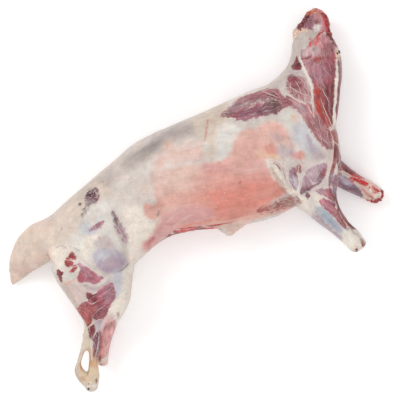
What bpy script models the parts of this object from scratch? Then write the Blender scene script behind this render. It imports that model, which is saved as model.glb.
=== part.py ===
"""Whole dressed goat carcass, lying on its left side with its right side up.

One solid: the trunk, neck stump, broad fat tail and four legs of a skinned, gutted carcass are one piece of
meat, fat and bone. +Z is up, +X runs from the rump towards the chest, and the legs point to -Y. The origin is
under the middle of the bounding box, on the surface that the carcass lies on.
"""

import math

import bmesh
import bpy
import numpy as np
from mathutils import Vector

# ---------------------------------------------------------------- driving dimensions
MM = 0.001  # the tables below are in millimetres, from a point in the middle of the trunk
CHEST = 96.0  # half the width across the ribs, so half the height of the chest as it lies
HIPS = 79.0  # half the width across the pelvis
MIDPLANE = 84.0  # height of the body's plane of symmetry above the floor
KEEL = 0.2  # how much thinner the body is at its belly edge than at its middle

BODY_STEPS = 5  # rings per station of the large masses
BODY_SIDES = 40  # points round each of their rings
THIN_STEPS = 2  # the same for the thin parts, which are joined on last and aren't thinned out
THIN_SIDES = 10
COARSE_VOXEL = 7.0 * MM  # for blending the large masses into each other
FINE_VOXEL = 4.2 * MM  # for blending the lower legs in and for the relief
TRIANGLES = 10500  # of the body, before the thin parts are joined to it
SLIT_DEPTH = 36.0  # of the cut along the belly

# Each mass is a loft. A station gives one edge's x, y, the other edge's x, y, the height of its middle and
# half its thickness. The first edge of the trunk is the back, and the second is the belly.
TRUNK = (
    (-339, -43, -335, -127, MIDPLANE, 0.58 * HIPS),
    (-317, -16, -294, -163, MIDPLANE, 0.86 * HIPS),
    (-276, 20, -228, -172, MIDPLANE, 0.98 * HIPS),
    (-231, 59, -167, -158, MIDPLANE, 0.94 * HIPS),
    (-190, 94, -128, -129, MIDPLANE, 0.73 * CHEST),
    (-146, 131, -81, -90, MIDPLANE, 0.77 * CHEST),
    (-80, 163, -24, -73, MIDPLANE, 0.86 * CHEST),
    (-1, 196, 50, -66, MIDPLANE, 0.95 * CHEST),
    (68, 227, 120, -54, MIDPLANE, CHEST),
    (128, 253, 174, -38, MIDPLANE, 0.98 * CHEST),
    (190, 266, 228, -8, MIDPLANE, 0.92 * CHEST),
    (246, 238, 280, 26, MIDPLANE, 0.80 * CHEST),
    (290, 199, 313, 48, MIDPLANE, 0.56 * CHEST),
)
TAIL = (
    (-307, -9, -303, -140, 84, 44),
    (-340, -36, -324, -143, 80, 41),
    (-372, -49, -336, -136, 72, 36),
    (-400, -65, -352, -149, 60, 28),
    (-421, -87, -371, -161, 46, 22),
    (-435, -115, -389, -172, 32, 17),
    (-444, -143, -406, -185, 22, 13),
    (-445, -169, -421, -196, 14, 9),
    (-443, -191, -430, -206, 10, 6),
)
NECK = (
    (118, 113, 308, 170, 84, 62),
    (133, 208, 316, 231, 82, 60),
    (155, 260, 321, 267, 79, 55),
    (191, 295, 324, 302, 72, 51),
    (206, 328, 320, 333, 66, 48),
    (209, 353, 310, 358, 61, 45),
    (211, 372, 299, 377, 58, 42),
)
NECK_STUMP = (
    (214, 367, 301, 370, 58, 37),
    (211, 384, 297, 384, 57, 34),
    (226, 401, 299, 401, 55, 31),
    (239, 418, 296, 416, 53, 28),
    (252, 431, 284, 430, 52, 22),
)
RIGHT_THIGH = (
    (-336, -63, -175, -13, 112, 44),
    (-340, -112, -148, -80, 118, 48),
    (-335, -148, -146, -148, 118, 48),
    (-322, -181, -151, -186, 117, 46),
    (-303, -210, -153, -215, 115, 43),
    (-287, -233, -159, -235, 113, 39),
    (-273, -253, -173, -255, 110, 34),
    (-265, -271, -198, -273, 107, 29),
)
LEFT_THIGH = (
    (-336, -92, -174, -73, 44, 44),
    (-330, -142, -158, -142, 42, 46),
    (-316, -174, -154, -179, 40, 46),
    (-300, -206, -156, -211, 38, 44),
    (-280, -239, -163, -241, 35, 40),
    (-262, -262, -175, -262, 34, 36),
    (-248, -280, -185, -280, 33, 32),
)
RIGHT_SHANK = (
    (-269, -256, -200, -256, 106, 29),
    (-262, -272, -208, -272, 104, 26),
    (-259, -288, -215, -288, 101, 22),
    (-257, -306, -222, -306, 98, 19),
    (-254, -324, -225, -324, 95, 15),
    (-251, -343, -228, -343, 93, 13),
    (-250, -361, -229, -361, 92, 13),
    (-252, -379, -229, -379, 91, 13),
    (-257, -397, -226, -397, 90, 14),
    (-261, -413, -228, -413, 89, 14),
    (-259, -428, -232, -428, 89, 11),
)
LEFT_SHANK = (
    (-253, -267, -182, -267, 34, 32),
    (-246, -285, -190, -285, 32, 27),
    (-243, -306, -197, -306, 29, 24),
    (-241, -327, -204, -327, 26, 20),
    (-239, -348, -209, -348, 23, 17),
    (-238, -365, -212, -365, 21, 15),
    (-237, -379, -212, -379, 20, 13),
)
SHOULDER = (
    (150, 222, 206, 188, 132, 30),
    (150, 190, 258, 142, 136, 38),
    (166, 140, 300, 84, 136, 40),
    (206, 78, 312, 48, 128, 37),
    (232, 36, 308, 22, 120, 32),
)
RIGHT_ARM = (
    (295, 89, 165, 33, 122, 50),
    (303, 42, 198, -2, 120, 46),
    (306, 6, 234, -27, 116, 38),
    (316, -23, 264, -51, 112, 32),
    (332, -46, 291, -71, 107, 27),
    (356, -69, 317, -93, 101, 22),
    (373, -93, 341, -116, 96, 18),
)
LEFT_ARM = (
    (298, 119, 241, 46, 42, 42),
    (320, 96, 288, 44, 40, 39),
    (340, 77, 316, 29, 37, 35),
    (365, 59, 346, 16, 33, 30),
    (396, 42, 374, 3, 28, 25),
    (423, 24, 403, -9, 22, 19),
)
HEEL_TENDON = (
    (-256, -268, -240, -272, 101, 9),
    (-262, -298, -246, -300, 100, 8),
    (-265, -318, -250, -320, 98, 7),
    (-270, -336, -257, -338, 97, 6),
    (-274, -352, -264, -353, 96, 5.5),
    (-279, -367, -267, -369, 94, 6),
    (-284, -384, -264, -379, 93, 9),
    (-278, -402, -258, -385, 92, 11),
    (-267, -417, -250, -394, 90, 12),
    (-253, -427, -240, -402, 89, 11),
)
BELLY_SLIT = (
    (-82, -112, -92, -86, MIDPLANE, 1.5),
    (-48, -104, -70, -76 + SLIT_DEPTH, MIDPLANE, 6),
    (8, -96, -6, -66 + SLIT_DEPTH, MIDPLANE, 10),
    (66, -92, 54, -58 + SLIT_DEPTH, MIDPLANE, 10),
    (126, -85, 112, -52 + SLIT_DEPTH, MIDPLANE, 7),
    (168, -65, 158, -25, MIDPLANE, 2),
)
BELLY_FLAP = (
    (40, -57, 42, -66, 97, 3),
    (50, -54, 52, -75, 97, 4),
    (63, -50, 66, -84, 97, 4.5),
    (80, -49, 82, -73, 97, 4),
    (100, -47, 100, -60, 97, 3),
)

# Low forms on the side that faces up: a path of x, y points, how wide it is and how far it stands out (or,
# with a minus, sinks in). A path of one point is a round bump.
RELIEF = (
    (((-188, 77), (-133, 111), (-77, 133)), 26, -6),  # hollow of the loin, beside the spine
    (((-192, -24), (-172, -71), (-160, -98), (-154, -130)), 10, -6),  # fold between flank and thigh
    (((-133, -50),), 46, -8),  # hollow flank
    (((-199, -133),), 34, 8),  # stifle
    (((-239, 11),), 20, -4),  # beside the tail head
    (((-262, -44), (-243, -32)), 14, 4),  # point of the hip
    (((-265, -137), (-208, -170), (-178, -190)), 8, -4),  # between the buttock's muscles
    (((-222, -226),), 30, 5),  # back of the thigh
    (((-305, -166), (-265, -221), (-256, -262)), 9, -4),
    (((-326, -33), (-318, -138)), 9, -6),  # root of the tail
    (((183, 203), (221, 181), (261, 144), (283, 110)), 12, 4),  # spine of the shoulder blade
    (((195, 225), (232, 203), (270, 166), (296, 122)), 9, -6),  # in front of the shoulder blade
    (((137, 170), (128, 112), (146, 62), (186, 13), (208, -14)), 13, -5),  # behind the shoulder
    (((188, 70),), 34, 5),  # shoulder muscle
    (((223, 18),), 18, 5),  # point of the elbow
    (((148, 88), (172, 48), (199, 13)), 6, 4),  # pleat of skin muscle behind the elbow
    (((223, 313), (241, 257), (259, 201)), 7, -4),  # between the neck's muscles
    (((268, 246), (290, 168)), 7, -4),
    (((306, 325), (309, 270), (306, 190)), 8, 4),  # windpipe's side of the neck
    (((214, 317), (246, 322), (279, 319)), 6, -3),  # crease across the neck
)


# ---------------------------------------------------------------- scene and mesh helpers
def clear_scene():
    for old in list(bpy.data.objects):
        bpy.data.objects.remove(old)


def new_collection(name):
    made = bpy.data.collections.new(name)
    bpy.context.scene.collection.children.link(made)
    return made


def apply_modifier(obj, kind, **settings):
    modifier = obj.modifiers.new(kind.lower(), kind)
    for setting, value in settings.items():
        setattr(modifier, setting, value)
    bpy.context.view_layer.objects.active = obj
    bpy.ops.object.modifier_apply(modifier=modifier.name)


def read_vectors(source, field):
    found = np.empty(len(source) * 3, np.float32)
    source.foreach_get(field, found)
    return found.reshape(-1, 3).astype(float)


def write_points(mesh, points):
    mesh.vertices.foreach_set("co", points.astype(np.float32).ravel())
    mesh.update()


# ---------------------------------------------------------------- lofts between unlike sections
def smooth_rows(rows, steps):
    """The stations with steps - 1 more between each pair, on a Catmull-Rom curve through them."""
    rows = np.array(rows, float)
    padded = np.vstack([2 * rows[0] - rows[1], rows, 2 * rows[-1] - rows[-2]])
    made = []
    for i in range(1, len(rows)):
        before, start, end, after = padded[i - 1 : i + 3]
        for t in np.arange(steps) / steps:
            slope = (end - before) * t
            bend = (2 * before - 5 * start + 4 * end - after) * t**2
            twist = (3 * start - before - 3 * end + after) * t**3
            made.append((2 * start + slope + bend + twist) / 2)
    return np.array([*made, rows[-1]])


def rings_of(stations, steps, sides, squareness, keel):
    """One ring of points for each station: a superellipse, 2 for an ellipse and more for a boxier one."""
    angle = np.arange(sides) * 2 * math.pi / sides
    across = np.sign(np.cos(angle)) * abs(np.cos(angle)) ** (2 / squareness)
    up = np.sign(np.sin(angle)) * abs(np.sin(angle)) ** (2 / squareness)
    rings = []
    for x1, y1, x2, y2, height, half in smooth_rows(stations, steps):
        flat = np.array([x1 + x2, y1 + y2]) / 2 + np.outer(across, [(x2 - x1) / 2, (y2 - y1) / 2])
        rings.append(np.column_stack([flat, height + up * half * (1 - keel * across)]))
    return rings


def dome(ring, inner, length):
    """Smaller and smaller rings beyond an end ring, and the tip that closes them."""
    centre = ring.mean(axis=0)
    out = centre - inner.mean(axis=0)
    out /= np.linalg.norm(out)
    made = []
    for angle in np.radians([25, 48, 66, 80]):
        made.append(centre + (ring - centre) * math.cos(angle) + out * length * math.sin(angle))
    return made, centre + out * length


def loft(name, stations, home, ends, squareness=2.2, keel=0.0, steps=BODY_STEPS, sides=BODY_SIDES):
    """A closed skin over the stations' rings, with rounded ends of the given lengths."""
    rings = rings_of(stations, steps, sides, squareness, keel)
    head, first_tip = dome(rings[0], rings[1], ends[0])
    tail, last_tip = dome(rings[-1], rings[-2], ends[1])
    bm = bmesh.new()
    loops = [[bm.verts.new(Vector(point) * MM) for point in ring] for ring in (*head[::-1], *rings, *tail)]
    for near, far in zip(loops, loops[1:]):
        for i in range(sides):
            j = (i + 1) % sides
            bm.faces.new((near[i], near[j], far[j], far[i]))
    for loop, tip in ((loops[0], first_tip), (loops[-1], last_tip)):
        point = bm.verts.new(Vector(tip) * MM)
        for i in range(sides):
            bm.faces.new((loop[i], loop[(i + 1) % sides], point))
    bmesh.ops.recalc_face_normals(bm, faces=bm.faces)
    mesh = bpy.data.meshes.new(name)
    bm.to_mesh(mesh)
    bm.free()
    made = bpy.data.objects.new(name, mesh)
    home.objects.link(made)
    return made


def combine(whole, parts, operation="UNION"):
    """Joins everything in parts to whole, or cuts it away, and removes the parts."""
    apply_modifier(
        whole,
        "BOOLEAN",
        operation=operation,
        operand_type="COLLECTION",
        collection=parts,
        solver="EXACT",
    )
    for used in list(parts.objects):
        bpy.data.objects.remove(used)
    bpy.data.collections.remove(parts)


# ---------------------------------------------------------------- the carcass
def large_masses():
    """Trunk, neck, tail, thighs and shoulder, blended into one skin."""
    whole = loft("carcass", TRUNK, bpy.data.collections["goat_carcass"], (22, 15), 2.2, KEEL)
    masses = new_collection("masses")
    loft("neck", NECK, masses, (20, 3))
    loft("tail", TAIL, masses, (15, 4), 2.1)
    loft("right_thigh", RIGHT_THIGH, masses, (30, 10))
    loft("left_thigh", LEFT_THIGH, masses, (20, 10))
    loft("shoulder", SHOULDER, masses, (20, 20))
    combine(whole, masses)
    apply_modifier(whole, "REMESH", mode="VOXEL", voxel_size=COARSE_VOXEL)
    apply_modifier(whole, "SMOOTH", factor=0.5, iterations=12)
    return whole


def add_limbs(whole):
    """The lower legs, cut off at the knees and hocks, and the stump of the neck."""
    limbs = new_collection("limbs")
    loft("right_shank", RIGHT_SHANK, limbs, (8, 5), 2.5)
    loft("left_shank", LEFT_SHANK, limbs, (8, 5), 2.5)
    loft("right_arm", RIGHT_ARM, limbs, (20, 7), 2.4)
    loft("left_arm", LEFT_ARM, limbs, (20, 7), 2.4)
    loft("neck_stump", NECK_STUMP, limbs, (2, 6), 2.6)
    combine(whole, limbs)
    apply_modifier(whole, "REMESH", mode="VOXEL", voxel_size=FINE_VOXEL)
    apply_modifier(whole, "SMOOTH", factor=0.5, iterations=5)


def distance_to_path(flat, path):
    path = np.array(path, float)
    if len(path) == 1:
        return np.linalg.norm(flat - path[0], axis=1)
    nearest = np.full(len(flat), np.inf)
    for start, end in zip(path, path[1:]):
        run = end - start
        share = np.clip((flat - start) @ run / (run @ run), 0, 1)
        nearest = np.minimum(nearest, np.linalg.norm(flat - start - np.outer(share, run), axis=1))
    return nearest


def press_relief(whole):
    """Moves the surface in or out along its normals, for the RELIEF forms and the ragged cut of the neck."""
    mesh = whole.data
    points = read_vectors(mesh.vertices, "co") / MM
    normals = read_vectors(mesh.vertex_normals, "vector")
    facing_up = np.clip(normals[:, 2] * 2.5, 0, 1)
    move = np.zeros(len(points))
    for path, width, height in RELIEF:
        near = np.exp(-((distance_to_path(points[:, :2], path) / width) ** 2))
        move += height * near * facing_up
    at_cut = np.clip((points[:, 1] - 385) / 15, 0, 1)
    across, up = points[:, 0], points[:, 2]
    lumps = np.sin(across / 5.1 + 1) * np.sin(up / 4.7) + np.sin(across / 9 - up / 7)
    move += 2.6 * at_cut * lumps
    write_points(mesh, (points + normals * move[:, None]) * MM)


def thin_out(whole):
    """Merges faces where the surface is plain, down to the triangle budget."""
    apply_modifier(whole, "TRIANGULATE")
    apply_modifier(whole, "DECIMATE", ratio=TRIANGLES / len(whole.data.polygons))


def add_thin_parts(whole):
    """The heel tendon, which stands off the shank, and the torn flap of belly wall by the gutting cut."""
    cut = new_collection("cut")
    loft("belly_slit", BELLY_SLIT, cut, (2, 2), 2, steps=THIN_STEPS, sides=THIN_SIDES)
    combine(whole, cut, "DIFFERENCE")
    thin = new_collection("thin")
    loft("heel_tendon", HEEL_TENDON, thin, (4, 4), 2, steps=THIN_STEPS, sides=THIN_SIDES)
    loft("belly_flap", BELLY_FLAP, thin, (2, 2), 2, steps=THIN_STEPS, sides=THIN_SIDES)
    combine(whole, thin)


def flatten_underside(whole):
    """Cuts the body level where its weight presses it on the floor, and closes the cuts with flat faces."""
    bm = bmesh.new()
    bm.from_mesh(whole.data)
    everything = [*bm.verts, *bm.edges, *bm.faces]
    bmesh.ops.bisect_plane(
        bm, geom=everything, dist=1e-5, plane_co=(0, 0, 0), plane_no=(0, 0, -1), clear_outer=True
    )
    rim = [edge for edge in bm.edges if edge.is_boundary]
    bmesh.ops.holes_fill(bm, edges=rim, sides=0)
    bmesh.ops.triangulate(bm, faces=bm.faces)
    bm.to_mesh(whole.data)
    bm.free()


def centre_on_origin(whole):
    """Puts the origin under the middle of the bounding box, and returns how far the body moved."""
    points = read_vectors(whole.data.vertices, "co")
    low, high = points.min(axis=0), points.max(axis=0)
    middle = np.array([(low[0] + high[0]) / 2, (low[1] + high[1]) / 2, low[2]])
    write_points(whole.data, points - middle)
    return -middle


def raw_meat():
    made = bpy.data.materials.new("raw_meat")
    made.use_nodes = True
    shader = made.node_tree.nodes["Principled BSDF"]
    shader.inputs["Base Color"].default_value = (0.72, 0.46, 0.40, 1)
    shader.inputs["Roughness"].default_value = 0.45
    shader.inputs["Metallic"].default_value = 0
    return made


clear_scene()
new_collection("goat_carcass")
carcass = large_masses()
add_limbs(carcass)
press_relief(carcass)
thin_out(carcass)
add_thin_parts(carcass)
flatten_underside(carcass)
print("moved by", centre_on_origin(carcass))
carcass.data.materials.append(raw_meat())
carcass.data.shade_smooth()
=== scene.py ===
import math

import bpy
import numpy as np
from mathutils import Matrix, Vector, noise


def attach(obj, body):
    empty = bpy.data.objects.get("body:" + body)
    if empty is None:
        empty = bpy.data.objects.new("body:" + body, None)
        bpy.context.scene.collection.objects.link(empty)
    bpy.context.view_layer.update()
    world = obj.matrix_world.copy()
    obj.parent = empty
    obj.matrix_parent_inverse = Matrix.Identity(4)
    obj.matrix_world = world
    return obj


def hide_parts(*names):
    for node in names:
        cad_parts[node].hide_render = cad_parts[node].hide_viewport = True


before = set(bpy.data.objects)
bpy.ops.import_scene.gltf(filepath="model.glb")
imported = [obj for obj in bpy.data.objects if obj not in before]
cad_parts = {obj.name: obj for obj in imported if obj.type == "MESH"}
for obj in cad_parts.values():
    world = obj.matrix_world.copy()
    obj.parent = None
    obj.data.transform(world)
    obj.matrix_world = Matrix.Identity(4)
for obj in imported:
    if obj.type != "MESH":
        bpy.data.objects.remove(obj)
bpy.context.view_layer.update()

# ---------------------------------------------------------------- the table and the light
# The carcass lies on a pale table and is seen from straight above. Two wide lamps at its sides, a third high
# over it and an even room give the soft light of a butcher's catalogue picture.
EYE = Vector((0.0084, -0.0029, 3.085))  # where the camera is
SUBJECT_HEIGHT = 0.085  # the level in the carcass at which a pixel is PIXEL wide
PIXEL = 0.00226
PICTURE = 400  # pixels across
SENSOR = 36.0  # mm
NEAREST = 0.05  # the camera sees from here
FARTHEST = 40  # to here
ROOM_LIGHT = 0.68
LAMPS = (
    # where it hangs, its size, its power
    ((-1.9, 1.3, 2.7), 1.6, 34),
    ((1.5, -1.7, 2.7), 2.0, 17),
    ((0.2, 0.3, 4.2), 2.8, 22),
)
TABLE_SIZE = 14
TABLE_LEVEL = -0.0004  # a hair below the carcass, so that their faces don't fall together
TABLE_PAINT = (0.95, 0.95, 0.95, 1)
TABLE_ROUGHNESS = 0.8
TABLE_GLOW = 0.16  # keeps the shadows beside the carcass pale
WHITE = (1, 1, 1, 1)


def look_down():
    bpy.ops.object.camera_add(location=EYE, rotation=(0, 0, 0))
    camera = bpy.context.object
    camera.name = "camera"
    camera.data.lens = SENSOR * (EYE.z - SUBJECT_HEIGHT) / (PICTURE * PIXEL)
    camera.data.sensor_width = SENSOR
    camera.data.clip_start = NEAREST
    camera.data.clip_end = FARTHEST
    bpy.context.scene.camera = camera


def light_the_table():
    for number, (place, size, power) in enumerate(LAMPS):
        bpy.ops.object.light_add(type="AREA", location=place)
        lamp = bpy.context.object
        lamp.name = f"lamp_{number}"
        lamp.data.size = size
        lamp.data.energy = power
        lamp.rotation_euler = (-Vector(place)).to_track_quat("-Z", "Y").to_euler()
    room = bpy.data.worlds.new("room")
    room.use_nodes = True
    background = room.node_tree.nodes["Background"]
    background.inputs["Color"].default_value = WHITE
    background.inputs["Strength"].default_value = ROOM_LIGHT
    bpy.context.scene.world = room
    bpy.context.scene.view_settings.view_transform = "Standard"


def table_top():
    bpy.ops.object.select_all(action="DESELECT")
    bpy.ops.mesh.primitive_plane_add(size=TABLE_SIZE, location=(0, 0, TABLE_LEVEL))
    top = bpy.context.object
    top.name = "table_top"
    paint = bpy.data.materials.new("table_paint")
    paint.use_nodes = True
    shader = paint.node_tree.nodes["Principled BSDF"]
    shader.inputs["Base Color"].default_value = TABLE_PAINT
    shader.inputs["Roughness"].default_value = TABLE_ROUGHNESS
    shader.inputs["Emission Color"].default_value = WHITE
    shader.inputs["Emission Strength"].default_value = TABLE_GLOW
    top.data.materials.append(paint)


look_down()
light_the_table()
table_top()

# ---------------------------------------------------------------- the carcass: its skinned surface
# One body of meat, bone and fat: the hide and the insides are gone, and the head and the feet are cut off.
# Its surface is a fine skin of even faces over the model's form, without that form's flat facets.
FINE = 0.0033  # size of a face
MERGE_DISTANCE = 1e-5
RELAX_ROUNDS = 38
RELAX_STEPS = (0.5, -0.52)  # in each round: so far towards the neighbours' middle, and then back out


def select_only(piece):
    bpy.ops.object.select_all(action="DESELECT")
    piece.select_set(True)
    bpy.context.view_layer.objects.active = piece


def finish_with(piece, kind, **settings):
    """Adds a modifier of that kind and applies it."""
    modifier = piece.modifiers.new(kind.lower(), kind)
    for setting, value in settings.items():
        setattr(modifier, setting, value)
    select_only(piece)
    bpy.ops.object.modifier_apply(modifier=modifier.name)


def read_vectors(source, field):
    found = np.empty(len(source) * 3, np.float32)
    source.foreach_get(field, found)
    return found.reshape(-1, 3).astype(float)


def write_points(mesh, points):
    mesh.vertices.foreach_set("co", points.astype(np.float32).ravel())
    mesh.update()


def relaxed(mesh, points):
    """The points with small unevenness evened out, and without the whole getting thinner."""
    ends = np.empty(len(mesh.edges) * 2, np.int32)
    mesh.edges.foreach_get("vertices", ends)
    first, second = ends.reshape(-1, 2).T
    neighbours = np.bincount(ends, minlength=len(points)).astype(float)
    for step in RELAX_STEPS * RELAX_ROUNDS:
        total = np.empty_like(points)
        for axis in range(3):
            column = points[:, axis]
            total[:, axis] = np.bincount(first, column[second], len(points))
            total[:, axis] += np.bincount(second, column[first], len(points))
        points = points + step * (total / neighbours[:, None] - points)
    return points


def skinned_body():
    body = bpy.data.objects.new("carcass_flesh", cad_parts["carcass"].data.copy())
    bpy.context.scene.collection.objects.link(body)
    body.data.materials.clear()
    select_only(body)
    bpy.ops.object.mode_set(mode="EDIT")
    bpy.ops.mesh.select_all(action="SELECT")
    bpy.ops.mesh.remove_doubles(threshold=MERGE_DISTANCE)
    bpy.ops.object.mode_set(mode="OBJECT")
    finish_with(body, "REMESH", mode="VOXEL", voxel_size=FINE)
    even = read_vectors(body.data.vertices, "co")
    points = relaxed(body.data, even)
    resting = even[:, 2] < 0.5 * FINE
    points[:, 2] = np.where(resting, even[:, 2], np.maximum(points[:, 2], 0))
    write_points(body.data, points)
    body.data.shade_smooth()
    return body


flesh = skinned_body()

# ---------------------------------------------------------------- how the muscles and the fat lie on it
# Skinning leaves fat and silverskin over most of the carcass, and bare muscle where the knife or the pull of
# the hide took them off. A patch is an outline in the picture's pixels, for the side that lies uppermost, and
# it wanders more and more on the way down to the side that lies on the table.
NOISE_SHIFT = Vector((7.3, 3.1, -5.7))  # between one seed's noise and the next
OCTAVE_STEP = 2.0  # how many times finer each octave of a noise is than the one before
OCTAVE_FADE = 1.0  # it is weaker by that step to this power
UNDER_FROM = 0.08  # a face turns under where its normal points up less than this,
UNDER_OVER = 0.7  # and lies wholly under where it points up less still by this
WANDER_SIZE = 0.02
WANDER = 0.7  # how many pixels a patch wanders on the upper side
WANDER_UNDER = 7  # how many more on the underside
RAGGED_SIZE = 0.009
RAGGED = 0.8  # how far an edge strays in and out, as a share of its width
FRAYED_SIZE = 0.0035
FRAYED = 0.5
WIDEST_FRAY = 1.5  # pixels; a wider edge strays no farther than one of this width
FAR_OFF = 15.0  # pixels from an outline, past which its distance isn't worked out
COVER_MARGIN = 3  # how many pixels a muscle goes on under the cover round it
COVER_EDGE = 2
SUNK = 0.8  # mm that a bare muscle lies lower beside the cover's edge
SUNK_WIDTH = 8  # pixels in from that edge, where it is level again
KNIFE_EDGE = 1  # an edge narrower than this was cut with the knife
RIM = 0.42
RIM_WIDTH = 0.9
RIM_RAGGED = 0.5
SINEW_EDGE = 0.7
SINEW_RISE = 0.9  # mm
SINEW_SLOPE = 1.0
points = read_vectors(flesh.data.vertices, "co")
normals = read_vectors(flesh.data.vertex_normals, "vector")


def lumps(places, size, shift, octaves):
    """Soft lumps of about that size in metres, as a height at each place, between about -1 and 1."""
    spots = [Vector(place) / size + shift for place in places]
    return np.array([noise.fractal(spot, OCTAVE_FADE, OCTAVE_STEP, octaves) for spot in spots])


def clouds(size, seed, octaves=3):
    """Such lumps at the points of the flesh."""
    return lumps(points, size, NOISE_SHIFT * seed, octaves)


def in_picture(places):
    """The pixel at which the camera sees each place."""
    scale = (EYE.z - SUBJECT_HEIGHT) / (EYE.z - places[:, 2]) / PIXEL
    across = PICTURE / 2 + (places[:, 0] - EYE.x) * scale
    down = PICTURE / 2 - (places[:, 1] - EYE.y) * scale
    return np.column_stack([across, down])


turned_under = np.clip((UNDER_FROM - normals[:, 2]) / UNDER_OVER, 0, 1)
wander = WANDER + WANDER_UNDER * turned_under
wandering = np.column_stack([clouds(WANDER_SIZE, 1), clouds(WANDER_SIZE, 2)])
seen = in_picture(points) + wander[:, None] * wandering
ragged = clouds(RAGGED_SIZE, 3, 2)
frayed = clouds(FRAYED_SIZE, 8, 1)


def on_curve(before, start, end, after, share):
    """A share of the way from start to end, on a smooth line that also goes through the points round them."""
    bend = 2 * before - 5 * start + 4 * end - after
    rise = 3 * start - before - 3 * end + after
    return start + 0.5 * share * (end - before + share * (bend + share * rise))


def rounded(corners):
    """A smooth closed line through the outline's corners."""
    before, after, beyond = (np.roll(corners, shift, axis=0) for shift in (1, -1, -2))
    line = [on_curve(before, corners, after, beyond, share) for share in (0, 1 / 3, 2 / 3)]
    return np.stack(line, axis=1).reshape(-1, 2)


def inside(outline):
    """How many pixels each point lies inside the outline. Outside it, the number is below zero."""
    corners = rounded(np.array(outline, float))
    near = np.all((seen > corners.min(axis=0) - FAR_OFF) & (seen < corners.max(axis=0) + FAR_OFF), axis=1)
    found = np.full(len(seen), -FAR_OFF)
    place = seen[near]
    nearest = np.full(len(place), FAR_OFF)
    enclosed = np.zeros(len(place), bool)
    for start, end in zip(corners, np.roll(corners, -1, axis=0)):
        run = end - start
        share = np.clip((place - start) @ run / (run @ run), 0, 1)
        nearest = np.minimum(nearest, np.linalg.norm(place - start - np.outer(share, run), axis=1))
        if start[1] != end[1]:
            crosses = (start[1] > place[:, 1]) != (end[1] > place[:, 1])
            enclosed ^= crosses & (place[:, 0] < start[0] + run[0] * (place[:, 1] - start[1]) / run[1])
    found[near] = np.where(enclosed, nearest, -nearest)
    return found


def beside(path, start_width, end_width):
    """The same for a stroke along a path, which gets wider or narrower. One point makes a round spot."""
    path = np.array(path, float)
    reach = np.full(len(seen), -FAR_OFF)
    if len(path) == 1:
        return np.maximum(reach, start_width - np.linalg.norm(seen - path[0], axis=1))
    gone = 0
    whole = np.linalg.norm(np.diff(path, axis=0), axis=1).sum()
    for start, end in zip(path, path[1:]):
        run = end - start
        length = np.linalg.norm(run)
        share = np.clip((seen - start) @ run / length**2, 0, 1)
        width = start_width + (end_width - start_width) * (gone + share * length) / whole
        reach = np.maximum(reach, width - np.linalg.norm(seen - start - np.outer(share, run), axis=1))
        gone += length
    return reach


def soft(reach, edge):
    """From 0 to 1 over the edge's width on each side of an outline, which strays in and out a little."""
    strays = (RAGGED * ragged + FRAYED * frayed) * min(edge, WIDEST_FRAY)
    share = np.clip((reach + strays) / (2 * edge) + 0.5, 0, 1)
    return share * share * (3 - 2 * share)


def tint(colours, colour, cover):
    colours += (np.array(colour) - colours) * cover[:, None]


SILVERSKIN = (0.62, 0.55, 0.50)
DEEP_RED = (0.27, 0.07, 0.09)
skin = np.tile(SILVERSKIN, (len(points), 1))  # the colour of what covers the muscle
lean = np.tile(DEEP_RED, (len(points), 1))  # the colour of the muscle under it
bare = np.zeros(len(points))  # how much of the muscle shows
sinew = np.zeros(len(points))  # how much white sinew lies on top
lift = np.zeros(len(points))  # how far the surface is raised, in millimetres
grain = points.copy()  # where each point is, turned so that the fibres run along x


def lay_fat(patches):
    """Patches of the cover: colour, width of the soft edge to each side in pixels, how strong, outline."""
    for colour, edge, share, outline in patches.values():
        tint(skin, colour, share * soft(inside(outline), edge))


def lay_muscle(patches):
    """Patches where the cover is gone and muscle shows: the same four values."""
    for colour, edge, share, outline in patches.values():
        reach = inside(outline)
        tint(lean, colour, soft(reach + COVER_MARGIN, COVER_EDGE))
        cover = share * soft(reach, edge)
        bare[:] = np.maximum(bare, cover)
        lift[:] -= SUNK * cover * np.clip(1 - reach / SUNK_WIDTH, 0, 1)
        if edge < KNIFE_EDGE:  # the cover's cut edge shows as a thin white rim
            rim = np.clip(1 - np.abs(reach + RIM_RAGGED * ragged) / RIM_WIDTH, 0, 1)
            sinew[:] = np.maximum(sinew, RIM * rim)


def shade_muscle(patches):
    """Patches of another colour within the bare muscle: the same four values."""
    for colour, edge, share, outline in patches.values():
        tint(lean, colour, share * soft(inside(outline), edge))


def draw_stain(strokes):
    """Strokes and spots on cover and muscle: colour, width at each end, edge, how strong, path."""
    for colour, start_width, end_width, edge, share, path in strokes.values():
        cover = share * soft(beside(path, start_width, end_width), edge)
        tint(skin, colour, cover)
        tint(lean, colour, cover)


def draw_sinew(strokes):
    """White bands that stand out: width at each end, how strong, path."""
    for start_width, end_width, share, path in strokes.values():
        reach = beside(path, start_width, end_width)
        sinew[:] = np.maximum(sinew, share * soft(reach, SINEW_EDGE))
        lift[:] += SINEW_RISE * share * soft(reach, SINEW_SLOPE)


def fold_cover(folds):
    """Folds and swellings, and creases with a height below zero: width, height in millimetres, path."""
    for width, height, path in folds.values():
        lift[:] += height * np.exp(-((beside(path, 0, 0) / width) ** 2))


def swell_muscle(bellies):
    """Muscle bellies: height in millimetres, how many pixels wide their slope is, outline."""
    for height, slope, outline in bellies.values():
        rise = np.clip(inside(outline) / slope, 0, 1)
        lift[:] += height * rise * (2 - rise)


def run_fibres(directions):
    """Which way the fibres run within an outline, in degrees from x towards y."""
    for degrees, outline in directions.values():
        turn = math.radians(degrees)
        here = inside(outline) > 0
        x, y = points[here, 0], points[here, 1]
        grain[here, 0] = x * math.cos(turn) + y * math.sin(turn)
        grain[here, 1] = y * math.cos(turn) - x * math.sin(turn)


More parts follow.
